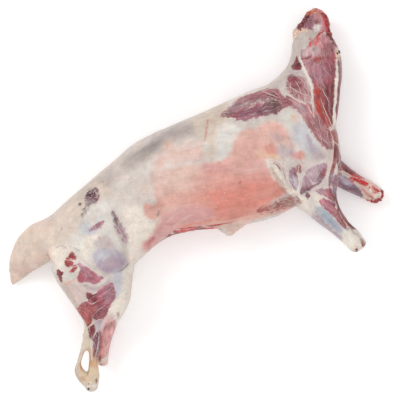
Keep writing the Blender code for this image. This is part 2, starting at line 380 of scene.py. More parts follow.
# Tail, rump and back: a broad fat tail and a cover of fat, thin over the spine. The grey band along the back
# is the fat's own grey with painted shade where the back turns away from the light.
TAIL_FAT = (0.69, 0.55, 0.45)
RUMP_FAT = (0.62, 0.52, 0.44)
DRY_FAT = (0.65, 0.49, 0.41)
BROWN_FAT = (0.54, 0.45, 0.38)
GREY_FAT = (0.50, 0.43, 0.39)
BEIGE_FAT = (0.59, 0.48, 0.39)
# The grey of the band along the back is the fat's own grey with painted shade, and it also colours a small
# grey dot. The next colour is a darker painted shade in that band.
BACK_GREY_AND_SHADE = (0.38, 0.32, 0.30)
BACK_SHADE_DARK = (0.30, 0.25, 0.23)
WHITE_FAT = (0.65, 0.62, 0.57)
GREEN_FAT = (0.60, 0.60, 0.54)
PINK_FAT = (0.69, 0.49, 0.42)
COOL_SKIN = (0.51, 0.50, 0.52)
FLUSH = (0.66, 0.38, 0.26)
RED_LINE = (0.52, 0.18, 0.14)
BRUISE = (0.13, 0.05, 0.07)
GREY_BRUISE = (0.26, 0.20, 0.21)
DRIED_BLOOD = (0.30, 0.16, 0.13)
BLACK_SPOT = (0.08, 0.03, 0.02)
CUT_VESSEL = ((208, 120), (206, 130), (205, 141))
lay_fat({
    "tail": (TAIL_FAT, 5, 1, (
        (4, 292), (4, 250), (18, 226), (34, 216), (46, 210), (57, 224), (57, 245), (48, 264), (30, 277),
        (14, 294),
    )),
    "rump": (RUMP_FAT, 7, 1, (
        (46, 212), (70, 190), (96, 168), (118, 160), (122, 185), (108, 200), (94, 206), (86, 222), (72, 236),
        (64, 250), (50, 262), (50, 235),
    )),
    "tail_low": (DRY_FAT, 4, 1, ((6, 294), (12, 266), (26, 258), (44, 250), (50, 257), (30, 277), (16, 290))),
    "tail_top": (DRY_FAT, 3, 0.8, (
        (24, 226), (36, 216), (50, 208), (58, 216), (52, 227), (40, 233), (28, 233),
    )),
    "rump_edge": (BROWN_FAT, 4, 0.75, (
        (40, 214), (60, 199), (80, 183), (100, 168), (106, 176), (86, 193), (66, 209), (48, 222),
    )),
    "back_over_loin": (GREY_FAT, 6, 1, (
        (96, 172), (130, 150), (160, 128), (190, 115), (222, 100), (226, 120), (200, 136), (168, 146),
        (148, 162), (130, 176), (112, 186),
    )),
    # This patch and the one after it are the band along the back: painted shade where the back turns away
    # from the light, over the fat's own grey. The second is darker.
    "spine": (BACK_GREY_AND_SHADE, 5, 0.9, (
        (122, 164), (136, 152), (156, 138), (172, 129), (192, 122), (192, 130), (174, 138), (160, 148),
        (142, 160), (128, 168),
    )),
    "spine_shade_dark": (BACK_SHADE_DARK, 3, 0.8, (
        (138, 154), (148, 147), (162, 139), (160, 145), (150, 152), (141, 157),
    )),
    "back_beige": (BEIGE_FAT, 6, 0.9, (
        (196, 116), (226, 102), (226, 130), (218, 152), (208, 160), (203, 140), (196, 132),
    )),
    "loin": (SILVERSKIN, 6, 1, (
        (122, 190), (140, 174), (160, 158), (178, 148), (200, 140), (205, 156), (180, 165), (160, 170),
        (152, 182), (146, 200), (130, 205),
    )),
    "loin_pink_low": (PINK_FAT, 4, 0.7, ((152, 160), (161, 153), (166, 163), (156, 172))),
    "loin_pink_mid": (PINK_FAT, 4, 0.7, ((163, 145), (170, 141), (178, 150), (172, 160), (164, 155))),
    "loin_pink_high": (PINK_FAT, 4, 0.7, ((175, 145), (202, 140), (203, 152), (180, 158))),
    "loin_green_low": (GREEN_FAT, 1.5, 0.9, ((147, 181), (150, 179), (151, 192), (148, 193))),
    "loin_green_high": (GREEN_FAT, 2, 0.9, ((204, 144), (209, 144), (208, 155), (205, 154))),
    "loin_blue": (COOL_SKIN, 3, 0.7, ((133, 199), (140, 199), (141, 206), (134, 206))),
    "ribs_white": (WHITE_FAT, 4, 1, (
        (220, 126), (238, 121), (242, 127), (237, 138), (232, 150), (226, 160), (220, 163), (216, 150),
    )),
    "under_withers": (GREY_FAT, 3, 0.5, (
        (232, 119), (262, 116), (283, 109), (292, 118), (290, 126), (275, 124), (258, 127), (242, 130),
    )),
})
lay_muscle({
    "rump_bruise": (BRUISE, 1.6, 0.86, (
        (84.5, 199), (86, 194), (89.5, 190), (94, 187.5), (98.5, 189.5), (100, 195), (97.5, 201), (92, 205),
        (87, 204.5),
    )),
    "bruise_trail": (GREY_BRUISE, 2, 0.62, (
        (86, 203), (91, 203), (88, 211), (84, 218), (80, 217), (83, 210),
    )),
})
draw_stain({
    "rump_dot": (BLACK_SPOT, 1.3, 1.3, 0.6, 1, ((80.5, 204),)),
    "tail_head_dot": (DRIED_BLOOD, 0.8, 0.8, 0.6, 0.8, ((62, 229),)),
    "back_dot": (BACK_GREY_AND_SHADE, 0.9, 0.9, 0.6, 0.8, ((103, 182),)),
    "tail_tip": (DRIED_BLOOD, 1.6, 1.6, 0.8, 0.8, ((12, 286),)),
    "tail_crease": (DRIED_BLOOD, 0.7, 0.4, 0.7, 0.8, ((47, 254), (50, 260), (53, 264))),
    "tail_fold": (DRY_FAT, 0.8, 0.5, 1.0, 0.8, ((55, 250), (56, 256), (54, 260))),
    "tail_flush": (FLUSH, 2.2, 1.2, 1.5, 0.6, ((48, 252), (52, 258))),
    "cut_vessel": (RED_LINE, 0.7, 0.5, 0.6, 0.9, CUT_VESSEL),
    "back_flush": (FLUSH, 2, 1.5, 1.5, 0.6, ((167, 143), (168, 148))),
    "loin_blue_dot": (GREY_FAT, 1.6, 1.6, 1.6, 0.7, ((137, 203),)),
})
fold_cover({
    "tail_root": (2.2, -1.6, ((50, 254), (53, 242), (52, 228))),
    "spine": (3.5, 1.2, ((118, 168), (142, 150), (166, 136), (192, 126))),
    "cut_vessel": (0.9, 1.0, CUT_VESSEL),
    "loin_edge": (4.0, -0.9, ((128, 184), (150, 166), (180, 150), (204, 146))),
})
run_fibres({
    "tail": (48, ((0, 300), (0, 240), (40, 205), (56, 225), (50, 262))),
    "back": (33, ((56, 225), (90, 165), (200, 110), (222, 118), (150, 170), (110, 200))),
})

# Hip and thigh: silverskin and fat over the hip, the muscle over the kneecap under thin skin, and the cut ham
# below it.
CREAM_FAT = (0.76, 0.68, 0.59)
PINK_SKIN = (0.63, 0.50, 0.46)
LILAC_SKIN = (0.48, 0.38, 0.39)
VIOLET_SKIN = (0.48, 0.43, 0.49)
BLUE_SKIN = (0.49, 0.48, 0.54)
MAUVE_SKIN = (0.39, 0.28, 0.34)
VEILED_MEAT = (0.35, 0.23, 0.27)
MAUVE_MEAT = (0.35, 0.16, 0.20)
ROSE_MEAT = (0.37, 0.12, 0.16)
FRESH_RED = (0.34, 0.06, 0.06)
MAROON = (0.19, 0.03, 0.04)
# a dark grey for thin lines and grey film, and painted shade along the groin crease
GREY_LINE_AND_SHADE = (0.38, 0.31, 0.31)
lay_fat({
    "hip": (WHITE_FAT, 6, 1, (
        (90, 208), (104, 201), (114, 205), (121, 216), (128, 234), (130, 250), (118, 247), (100, 246),
        (92, 256), (82, 262), (74, 250), (73, 238), (80, 224),
    )),
    "hip_cream": (CREAM_FAT, 4, 0.9, (
        (84, 237), (94, 231), (99, 237), (94, 247), (90, 259), (83, 260), (80, 247),
    )),
    "hip_blue": (COOL_SKIN, 3, 0.7, ((80, 224), (88, 221), (90, 230), (84, 234))),
    "sliver_blue": (BLUE_SKIN, 1.5, 0.8, ((84, 229), (90, 228), (98, 230), (92, 235), (86, 235))),
    "streak_white": (GREEN_FAT, 1.5, 0.8, (
        (115, 206), (119, 209), (124, 217), (129, 230), (126, 228), (120, 217),
    )),
    "hip_mauve": (LILAC_SKIN, 3, 0.7, (
        (95, 241), (103, 237), (111, 237), (114, 243), (113, 248), (104, 247), (96, 250),
    )),
    "loin_to_hip": (SILVERSKIN, 6, 1, (
        (112, 184), (128, 176), (146, 176), (150, 192), (146, 204), (140, 216), (128, 224), (120, 206),
    )),
    "groin": (CREAM_FAT, 6, 1, (
        (121, 208), (140, 206), (152, 222), (156, 230), (146, 240), (138, 252), (131, 268), (128, 250),
        (127, 232),
    )),
    "buttock": (CREAM_FAT, 4, 0.9, (
        (50, 250), (62, 246), (72, 250), (66, 262), (62, 272), (56, 270), (52, 260),
    )),
    "ham_skin": (PINK_SKIN, 3, 1, (
        (62, 278), (74, 276), (84, 284), (90, 292), (84, 302), (78, 306), (68, 294),
    )),
    "ham_green": (GREEN_FAT, 1.5, 0.9, ((64, 274), (72, 273), (73, 280), (68, 281), (64, 279))),
    "ham_rim": (BROWN_FAT, 2.5, 0.75, (
        (55, 274), (60, 280), (74, 298), (82, 311), (76, 312), (64, 297), (55, 284),
    )),
    "ham_band": (LILAC_SKIN, 1.6, 0.9, (
        (82, 283), (88, 285), (96, 287), (102, 284), (109, 279), (111, 281), (103, 289), (94, 291), (85, 288),
    )),
    "kneecap": (VIOLET_SKIN, 1.8, 1, (
        (93, 256), (96, 250), (102, 248), (110, 249), (117, 250), (122, 254), (127, 260), (128, 265),
        (123, 270), (116, 273), (108, 273), (101, 270), (96, 264),
    )),
    "kneecap_blue": (BLUE_SKIN, 3, 0.9, ((95, 254), (102, 250), (110, 251), (106, 260), (98, 264))),
    "kneecap_mauve": (MAUVE_SKIN, 4, 0.95, (
        (98, 264), (108, 257), (120, 258), (126, 264), (120, 271), (108, 273), (101, 269),
    )),
    "front_blue": (BLUE_SKIN, 3, 0.9, (
        (112, 272), (122, 270), (125, 280), (121, 298), (115, 300), (114, 286),
    )),
    "front_cream": (CREAM_FAT, 4, 1, (
        (124, 268), (132, 266), (130, 290), (124, 310), (117, 324), (105, 313), (114, 302), (122, 290),
    )),
})
lay_muscle({
    "hip_sliver": (VEILED_MEAT, 1.2, 1.05, (
        (88.5, 230.5), (92, 227.5), (96, 224), (100, 221.5), (103.5, 220.5), (104.5, 222.5), (102, 226),
        (98, 229), (94, 231), (90, 232),
    )),
    "hip_streak": (VEILED_MEAT, 1.8, 0.72, (
        (110.5, 210), (114, 211), (117, 216), (121, 223), (125.5, 230), (128.5, 238), (128.5, 244),
        (126, 246), (122.5, 242), (118.5, 236), (115.5, 231), (114, 226), (112.5, 218),
    )),
    "cut_top": (FRESH_RED, 0.7, 1.05, (
        (68.2, 258.2), (69.2, 254.8), (71.2, 252), (73, 252), (75, 255), (77, 258.6), (74, 260), (71, 259.4),
    )),
    "cut_mid": (FRESH_RED, 0.7, 1.05, (
        (65.2, 259.5), (66.5, 256.8), (68.6, 257), (69.6, 260), (73, 261), (74, 263.4), (71.6, 266),
        (68, 267.2), (65.6, 265.6), (64.6, 262.5),
    )),
    "cut_low": (FRESH_RED, 0.7, 1.05, (
        (69, 271), (71.5, 268.5), (74, 265), (77, 265.5), (77, 269), (75.5, 271), (73, 272.5), (70, 272.5),
    )),
    "buttock_cut": (MAROON, 0.9, 1.05, (
        (55.5, 271), (58, 269.5), (61, 272), (63.5, 272), (63, 275), (61.5, 278), (63, 283), (60.5, 282),
        (57.5, 277),
    )),
    "ham_wedge": (ROSE_MEAT, 0.9, 1, (
        (77, 262), (82, 265), (88, 267.5), (94, 272), (99, 276), (106, 277), (101, 280), (98, 283), (93, 284),
        (88, 282), (80, 283), (77, 278), (80, 270),
    )),
    "ham": (ROSE_MEAT, 0.9, 1.05, (
        (112, 282), (115, 290), (116, 298), (112, 304), (108, 311), (104, 318), (98, 320), (93, 319),
        (86, 313), (79, 310), (79, 306), (83, 302), (88, 301), (86.5, 297), (86, 294), (89, 292), (93, 294),
        (96, 293.5), (98, 290), (103, 286.5),
    )),
    "ham_tip": (FRESH_RED, 0.9, 1.1, (
        (76, 307), (82, 308), (88, 310), (92, 313), (93, 318), (91, 323), (88, 328), (85, 323), (81, 317),
    )),
})
shade_muscle({
    "wedge_left": (FRESH_RED, 2.5, 0.3, ((76, 272), (83, 274), (86, 284), (80, 285), (76, 280))),
    "wedge_top": (VEILED_MEAT, 1.5, 0.6, ((76, 261), (84, 265), (84, 272), (79, 270))),
    "sliver_rose": (ROSE_MEAT, 1.5, 0.6, ((95, 224), (100, 220), (105, 220), (104, 225), (98, 229))),
    "ham_mauve": (MAUVE_MEAT, 3, 0.8, ((103, 286), (114, 283), (119, 298), (110, 303), (102, 298))),
    "ham_dark": (MAROON, 1.5, 0.9, ((86, 292), (92, 293), (98, 296), (97, 302), (92, 301), (88, 299))),
    "ham_deep": (DEEP_RED, 3, 0.8, ((92, 308), (112, 302), (104, 318), (93, 320))),
    "ham_cleft": (MAROON, 1, 0.8, ((90, 305), (96, 302), (104, 300), (97, 306), (91, 308))),
    "ham_low_red": (FRESH_RED, 2, 0.5, ((80, 300), (92, 300), (96, 312), (88, 314))),
})
draw_stain({
    "hip_dot": (RED_LINE, 1.1, 1.1, 0.6, 0.9, ((99, 238),)),
    "streak_dots": (BRUISE, 1.3, 0.9, 1.0, 0.8, ((113, 212.5), (114.5, 216), (117, 220))),
    # painted shade along the groin crease
    "groin_fold": (GREY_LINE_AND_SHADE, 0.6, 1.0, 0.9, 0.8, ((116, 272), (124, 269), (129, 263))),
    "kneecap_vein": (WHITE_FAT, 0.7, 0.4, 0.9, 0.5, ((97, 262), (101, 256), (107, 251))),
    "kneecap_vein_low": (WHITE_FAT, 0.6, 0.4, 0.9, 0.45, ((102, 266), (104, 259), (110, 254))),
    "ham_flush": (FLUSH, 1.2, 0.8, 0.9, 0.95, ((67, 283.5), (71, 281), (77, 277.5))),
    "knee_dot": (DRIED_BLOOD, 1.6, 1.2, 1.0, 0.8, ((118, 314), (118, 317))),
    "hair_high": (GREY_LINE_AND_SHADE, 0.5, 0.3, 0.7, 0.6, ((57, 247), (61, 246), (66, 248))),
    "hair_low": (GREY_LINE_AND_SHADE, 0.6, 0.3, 0.7, 0.6, ((74, 248), (79, 252))),
})
fold_cover({
    "groin_crease": (1.3, -2.6, ((114, 274), (121, 271), (126, 267), (131, 260))),
    "ham_crease": (1.0, -1.6, ((88, 304), (96, 303), (105, 299))),
    "ham_crease_low": (0.8, -1.0, ((86, 312), (94, 309), (104, 306))),
    "ham_fold": (1.4, 1.5, ((82, 284), (90, 287), (98, 287), (109, 281))),
    "ham_fold_side": (1.2, 1.3, ((66, 284), (76, 278), (79, 283), (82, 300))),
    "buttock_crease": (1.2, -1.6, ((48, 256), (54, 266), (60, 280))),
    "hip_crease": (1.6, -1.1, ((112, 208), (117, 218), (124, 230), (128, 244))),
})
swell_muscle({
    "kneecap": (2.6, 9, (
        (93, 256), (96, 250), (103, 247), (117, 249), (127, 259), (124, 270), (112, 274), (100, 270),
    )),
    "wedge": (1.6, 7, ((77, 262), (88, 267), (99, 276), (106, 277), (93, 284), (79, 282))),
    "ham": (2.0, 8, ((114, 284), (116, 298), (104, 318), (94, 319), (82, 306), (98, 303), (100, 290))),
})
run_fibres({
    "hip": (-62, ((74, 238), (92, 205), (118, 205), (140, 240), (128, 275), (96, 268))),
    "wedge": (-36, ((60, 250), (78, 250), (110, 278), (92, 288), (60, 285))),
    "ham": (32, ((76, 300), (84, 288), (112, 280), (120, 300), (104, 322), (90, 326))),
})

# Hind shanks: the upper one ends at the hock, with the heel tendon standing off it. The lower one is cut
# shorter.
TENDON = (0.61, 0.52, 0.40)
HEEL_SKIN = (0.67, 0.52, 0.36)
HOCK_ORANGE = (0.60, 0.35, 0.18)
CARTILAGE = (0.74, 0.68, 0.60)
ROSE_SKIN = (0.66, 0.50, 0.47)
PALE_MEAT = (0.46, 0.21, 0.22)
PURPLE_MEAT = (0.19, 0.07, 0.10)
MAUVE_SHEET = (0.62, 0.32, 0.31)
RUST = (0.55, 0.28, 0.14)
lay_fat({
    "shank": (TENDON, 2, 1, (
        (81, 324), (100, 317), (101, 345), (100, 394), (82, 394), (70, 376), (72, 362), (79, 345),
    )),
    "shank_mauve": (MAUVE_SKIN, 2.5, 0.95, ((93, 319), (106, 317), (108, 330), (104, 338), (98, 334))),
    "shank_blue": (BLUE_SKIN, 2, 0.8, ((97, 325), (102, 325), (102, 331), (98, 331))),
    "heel": (HEEL_SKIN, 2, 0.9, (
        (72, 364), (80, 366), (86, 374), (89, 384), (86, 389), (80, 382), (75, 375),
    )),
    "heel_olive": (BROWN_FAT, 1.5, 0.8, ((72, 364), (77, 365), (78, 372), (83, 381), (80, 384), (74, 376))),
    "hock_orange": (HOCK_ORANGE, 2.2, 0.95, (
        (88, 349), (98, 350), (98.5, 364), (96, 374), (90, 375), (87.5, 364),
    )),
    "hock": (HEEL_SKIN, 2.5, 0.9, ((85, 369), (99, 369), (99, 386), (87, 386))),
    "hock_end": (CARTILAGE, 1.5, 0.7, ((82, 385), (99, 384), (98, 396), (83, 396))),
    "far_shank": (ROSE_SKIN, 2, 1, ((103, 318), (115, 316), (114, 345), (109, 366), (99, 368), (100, 340))),
    "far_shank_end": (PINK_FAT, 2.0, 0.8, ((103, 356), (110, 350), (111, 366), (102, 367))),
})
lay_muscle({
    "calf": (MAROON, 0.7, 1.15, (
        (88, 328), (91, 325.5), (94.3, 325), (95.5, 329), (94.8, 333.5), (92.5, 337.5), (90.5, 340),
        (89.3, 336), (88.3, 332),
    )),
    "far_calf": (MAUVE_SHEET, 1.6, 1.1, (
        (98.8, 334), (101, 331), (104.5, 323), (109, 319), (114, 319.5), (116, 328), (113.5, 340),
        (109.5, 352), (106, 356), (104, 362), (98, 361), (97, 350),
    )),
    "shank_purple": (PURPLE_MEAT, 0.8, 1.15, (
        (94.8, 334), (98, 332.5), (99.3, 336), (98.5, 343), (97, 350), (95, 357), (93.3, 355), (93, 345),
        (93.5, 338),
    )),
})
draw_stain({
    "hock_edge": (DRIED_BLOOD, 0.5, 0.5, 0.7, 0.7, ((89, 356), (88.5, 366), (87, 376))),
    "heel_rust": (RUST, 1.3, 1.1, 0.8, 0.8, ((80.5, 364), (81.5, 369))),
    "heel_rust_low": (RUST, 1.6, 1.0, 1.0, 0.6, ((82, 377), (84, 380))),
    "hock_bloom": (RUST, 1.5, 1.0, 1.2, 0.7, ((93, 357), (93, 366))),
    "hock_pin": (BLACK_SPOT, 0.9, 0.9, 0.5, 1, ((88, 385),)),
    "hock_pin_low": (BLACK_SPOT, 1.2, 1.2, 0.5, 1, ((88.5, 388.5),)),
    "hock_pin_side": (DRIED_BLOOD, 1.1, 0.9, 0.6, 0.9, ((96, 380), (96.5, 382))),
    "far_cut": (MAROON, 1.3, 1.1, 1.2, 0.9, ((100, 357), (98.5, 360))),
    "far_streak": (RED_LINE, 0.8, 0.6, 1.0, 0.6, ((103, 336), (102, 346), (100, 356))),
    "far_cut_end": (MAROON, 0.9, 0.9, 0.6, 0.9, ((101.5, 365),)),
})
draw_sinew({
    "shank_back": (1.1, 0.8, 0.6, ((91, 340), (91, 350), (92, 360))),
    "heel_cord_light": (1.0, 0.7, 0.5, ((85, 334), (82, 348), (78, 362))),
})
fold_cover({
    "shank_groove": (0.9, -1.3, ((99, 333), (97, 345), (95, 357))),
    "shank_string": (0.8, 1.0, ((91, 340), (91, 352), (93, 366))),
    "hock_string": (0.8, 0.9, ((97, 345), (96, 358), (97, 370))),
    "heel_crease": (0.9, -1.0, ((80, 366), (84, 374), (87, 384))),
})
run_fibres({"shanks": (-82, ((66, 322), (120, 316), (116, 372), (100, 396), (66, 396)))})

# Flank and belly: the thin sheet muscle over ribs and belly, pink where its skin is thin and redder towards
# the brisket, with the long gutting cut along its lower edge.
PINK_SHEET = (0.68, 0.39, 0.33)
ROSE_SHEET = (0.65, 0.32, 0.27)
RED_SHEET = (0.64, 0.23, 0.18)
ORANGE_SHEET = (0.66, 0.31, 0.25)
WINE_SHEET = (0.61, 0.32, 0.31)
BROWN_SHEET = (0.48, 0.19, 0.14)
BROWN_MEAT = (0.34, 0.13, 0.11)
BLOOD = (0.52, 0.02, 0.02)
lay_fat({
    "flank": (PINK_SHEET, 4.5, 1, (
        (153, 192), (155, 182), (160, 175), (168, 170), (180, 168), (200, 165), (213, 164), (222, 162),
        (228, 157), (233, 151), (237, 139), (243, 132), (251, 130), (260, 133), (266, 138), (268, 145),
        (266, 158), (275, 180), (285, 192), (275, 200), (263, 206), (262, 216), (236, 225), (205, 230),
        (178, 232), (160, 242), (147, 252), (142, 246), (148, 239), (155, 229), (159, 220), (160, 208),
        (156, 200),
    )),
    "flank_lobe_chest": (PINK_SHEET, 1.6, 1, (
        (204, 166), (213, 163.5), (222, 161), (228, 156), (233, 150), (237, 138), (243, 131), (251, 129.5),
        (260, 133), (266, 138), (268, 145), (266, 160), (240, 172), (214, 172),
    )),
    "flank_blob_high": (PINK_SHEET, 2.5, 0.55, (
        (155, 163), (160, 156), (166, 156), (166, 162), (160, 168), (156, 170),
    )),
    "flank_blob_mid": (PINK_SHEET, 3, 0.45, (
        (166, 155), (172, 149), (180, 150), (196, 148), (206, 152), (204, 160), (186, 162), (172, 164),
    )),
    "flank_blob_low": (PINK_SHEET, 2.5, 0.5, ((150, 176), (154, 170), (158, 172), (156, 182), (152, 184))),
    "flank_upper": (PINK_FAT, 7, 0.75, (
        (155, 180), (176, 168), (206, 165), (204, 180), (190, 190), (160, 198),
    )),
    "flank_stain": (MAUVE_SHEET, 5, 0.8, (
        (203, 164), (216, 163), (228, 164), (226, 174), (212, 178), (204, 172),
    )),
    "flank_chest": (PINK_SHEET, 5, 0.7, (
        (240, 133), (258, 133), (264, 145), (258, 160), (240, 162), (232, 152),
    )),
    "flank_mid": (ROSE_SHEET, 10, 0.7, (
        (196, 176), (240, 162), (272, 166), (284, 190), (240, 200), (196, 196),
    )),
    "flank_wine": (WINE_SHEET, 7, 0.5, (
        (246, 166), (266, 162), (274, 178), (280, 188), (262, 190), (248, 180),
    )),
    "flank_red": (RED_SHEET, 10, 0.95, (
        (200, 196), (236, 182), (262, 176), (286, 190), (262, 208), (236, 220), (206, 216),
    )),
    "flank_orange": (ORANGE_SHEET, 5, 0.7, ((186, 194), (206, 196), (216, 206), (206, 216), (190, 206))),
    "flank_brisket": (RED_SHEET, 6, 0.5, ((240, 188), (262, 184), (286, 192), (264, 200), (244, 198))),
    "flank_fleck": (ROSE_SHEET, 5, 0.5, ((166, 190), (182, 192), (184, 204), (168, 204))),
    "flank_mauve": (MAUVE_SHEET, 4, 0.9, (
        (164, 214), (180, 206), (200, 206), (214, 212), (206, 222), (180, 224), (166, 224),
    )),
    "flank_low_left": (WINE_SHEET, 2.5, 0.95, (
        (143, 246), (150, 238), (158, 227), (166, 222), (180, 225), (190, 226), (178, 231), (162, 240),
        (149, 251),
    )),
    "flank_lobe": (ORANGE_SHEET, 2.0, 0.85, (
        (143.5, 206), (146, 203), (152, 205), (157, 202), (164, 202), (165, 212), (161, 214), (157, 218.5),
        (152, 219.5), (147, 218), (144, 212),
    )),
    "flank_blush": (PINK_FAT, 3, 0.6, ((141, 186), (147, 184), (148, 194), (142, 196))),
    "belly_brown": (BROWN_SHEET, 2.5, 1, (
        (260, 209), (268, 204), (278, 199), (290, 196), (300, 200), (304, 204), (292, 208), (276, 213),
        (262, 215),
    )),
    "belly_edge": (PINK_SHEET, 1.5, 0.8, (
        (205, 221), (232, 219), (262, 212), (290, 207), (290, 211), (262, 217), (234, 224), (206, 226),
    )),
    "belly_flap": (PINK_FAT, 1.5, 0.9, (
        (221, 226), (236, 222), (250, 220), (246, 228), (236, 236), (230, 238), (225, 231),
    )),
})
lay_muscle({
    "belly_lace": (BROWN_MEAT, 2.2, 0.64, (
        (262, 210), (270, 203), (280, 199), (290, 195), (297, 196), (303, 203), (295, 206), (284, 210),
        (272, 213),
    )),
    "brisket_red": (FRESH_RED, 2, 0.6, ((257, 209), (262, 206), (266, 210), (262, 214), (257, 214))),
})
draw_stain({
    "flank_dot": (BLOOD, 1.3, 0.8, 0.9, 1, ((240, 183), (241, 181))),
    "flank_dot_halo": (RED_SHEET, 2.5, 2, 2.0, 0.5, ((240, 182),)),
    "lobe_dot": (DRIED_BLOOD, 1.0, 0.8, 0.8, 0.9, ((159, 211), (158, 215))),
    "end_dark": (FRESH_RED, 3.0, 1.6, 2.2, 0.6, ((148, 243), (154, 238))),
    "edge_peach": (ORANGE_SHEET, 0.9, 0.9, 0.8, 0.8, ((178, 226.5), (196, 223.5), (216, 221), (236, 218.5))),
    "wrinkle_white": (PINK_FAT, 0.8, 0.5, 0.9, 0.6, ((168, 221), (176, 214), (184, 208))),
    "wrinkle_white_low": (PINK_FAT, 0.7, 0.5, 0.9, 0.6, ((173, 226), (181, 221), (192, 214))),
    "sheet_red_line": (RED_SHEET, 0.7, 0.5, 1.0, 0.7, ((184, 226), (204, 221), (226, 219), (244, 214))),
})
GUTTING_LINE = (
    # where the cut opens the belly, in metres, and how many times wider its lip is on the raised side
    (-0.080, -0.095, 0.084, 0.5), (-0.046, -0.073, 0.084, 2.1), (0.0, -0.069, 0.084, 2.4),
    (0.040, -0.064, 0.084, 1.8), (0.067, -0.060, 0.084, 0.9), (0.126, -0.047, 0.084, 0.5),
    (0.160, -0.037, 0.084, 0.5),
)
CUT_LIPS = 0.015  # how wide the raw strip along the cut is, to each side
CUT_DEEPER = 0.35  # the raw meat goes on inside the cut, where distances count by this much
CUT_RAGGED = 0.003
CUT_EDGE = 0.004


def redden_cut(line):
    """Bare, dark meat on both lips of a cut and inside it."""
    for start, end in zip(np.array(line), np.array(line[1:])):
        run = end[:3] - start[:3]
        share = np.clip((points - start[:3]) @ run / (run @ run), 0, 1)
        off = points - start[:3] - np.outer(share, run)
        off[:, 1] *= np.where(off[:, 1] > 0, CUT_DEEPER, 1)
        off[:, 2] /= np.where(off[:, 2] > 0, start[3] + share * (end[3] - start[3]), 1)
        raw = np.clip((CUT_LIPS + CUT_RAGGED * ragged - np.linalg.norm(off, axis=1)) / CUT_EDGE, 0, 1)
        tint(lean, MAROON, raw)
        bare[:] = np.maximum(bare, raw)


redden_cut(GUTTING_LINE)
shade_muscle({
    "gutting_cut_left": (BLOOD, 0.8, 1, (
        (174, 230.5), (184, 226.5), (191, 225), (198, 225), (194, 230.5), (183, 233),
    )),
    "gutting_cut_right": (BLOOD, 0.6, 1, (
        (202, 227), (212, 224), (224, 223), (238, 220.5), (230, 225), (214, 229),
    )),
})
fold_cover({
    "flank_crease": (1.2, -1.0, ((151, 243), (160, 230), (172, 221), (188, 216))),
    "flank_wrinkle": (0.9, 0.8, ((160, 224), (170, 215), (184, 208))),
    "flank_wrinkle_low": (0.9, 0.7, ((172, 226), (182, 219), (196, 213))),
    "lower_lip": (1.4, 1.4, ((180, 227), (205, 224), (234, 221))),
    "sheet_edge": (1.6, 0.8, ((157, 200), (153, 186), (158, 174), (176, 167), (205, 163), (224, 160))),
    "sheet_edge_chest": (1.6, 0.8, ((228, 154), (237, 140), (243, 130), (256, 130), (264, 136))),
})
run_fibres({
    "flank": (12, (
        (143, 170), (222, 158), (240, 126), (262, 128), (285, 192), (303, 206), (240, 232), (150, 250),
    )),
})

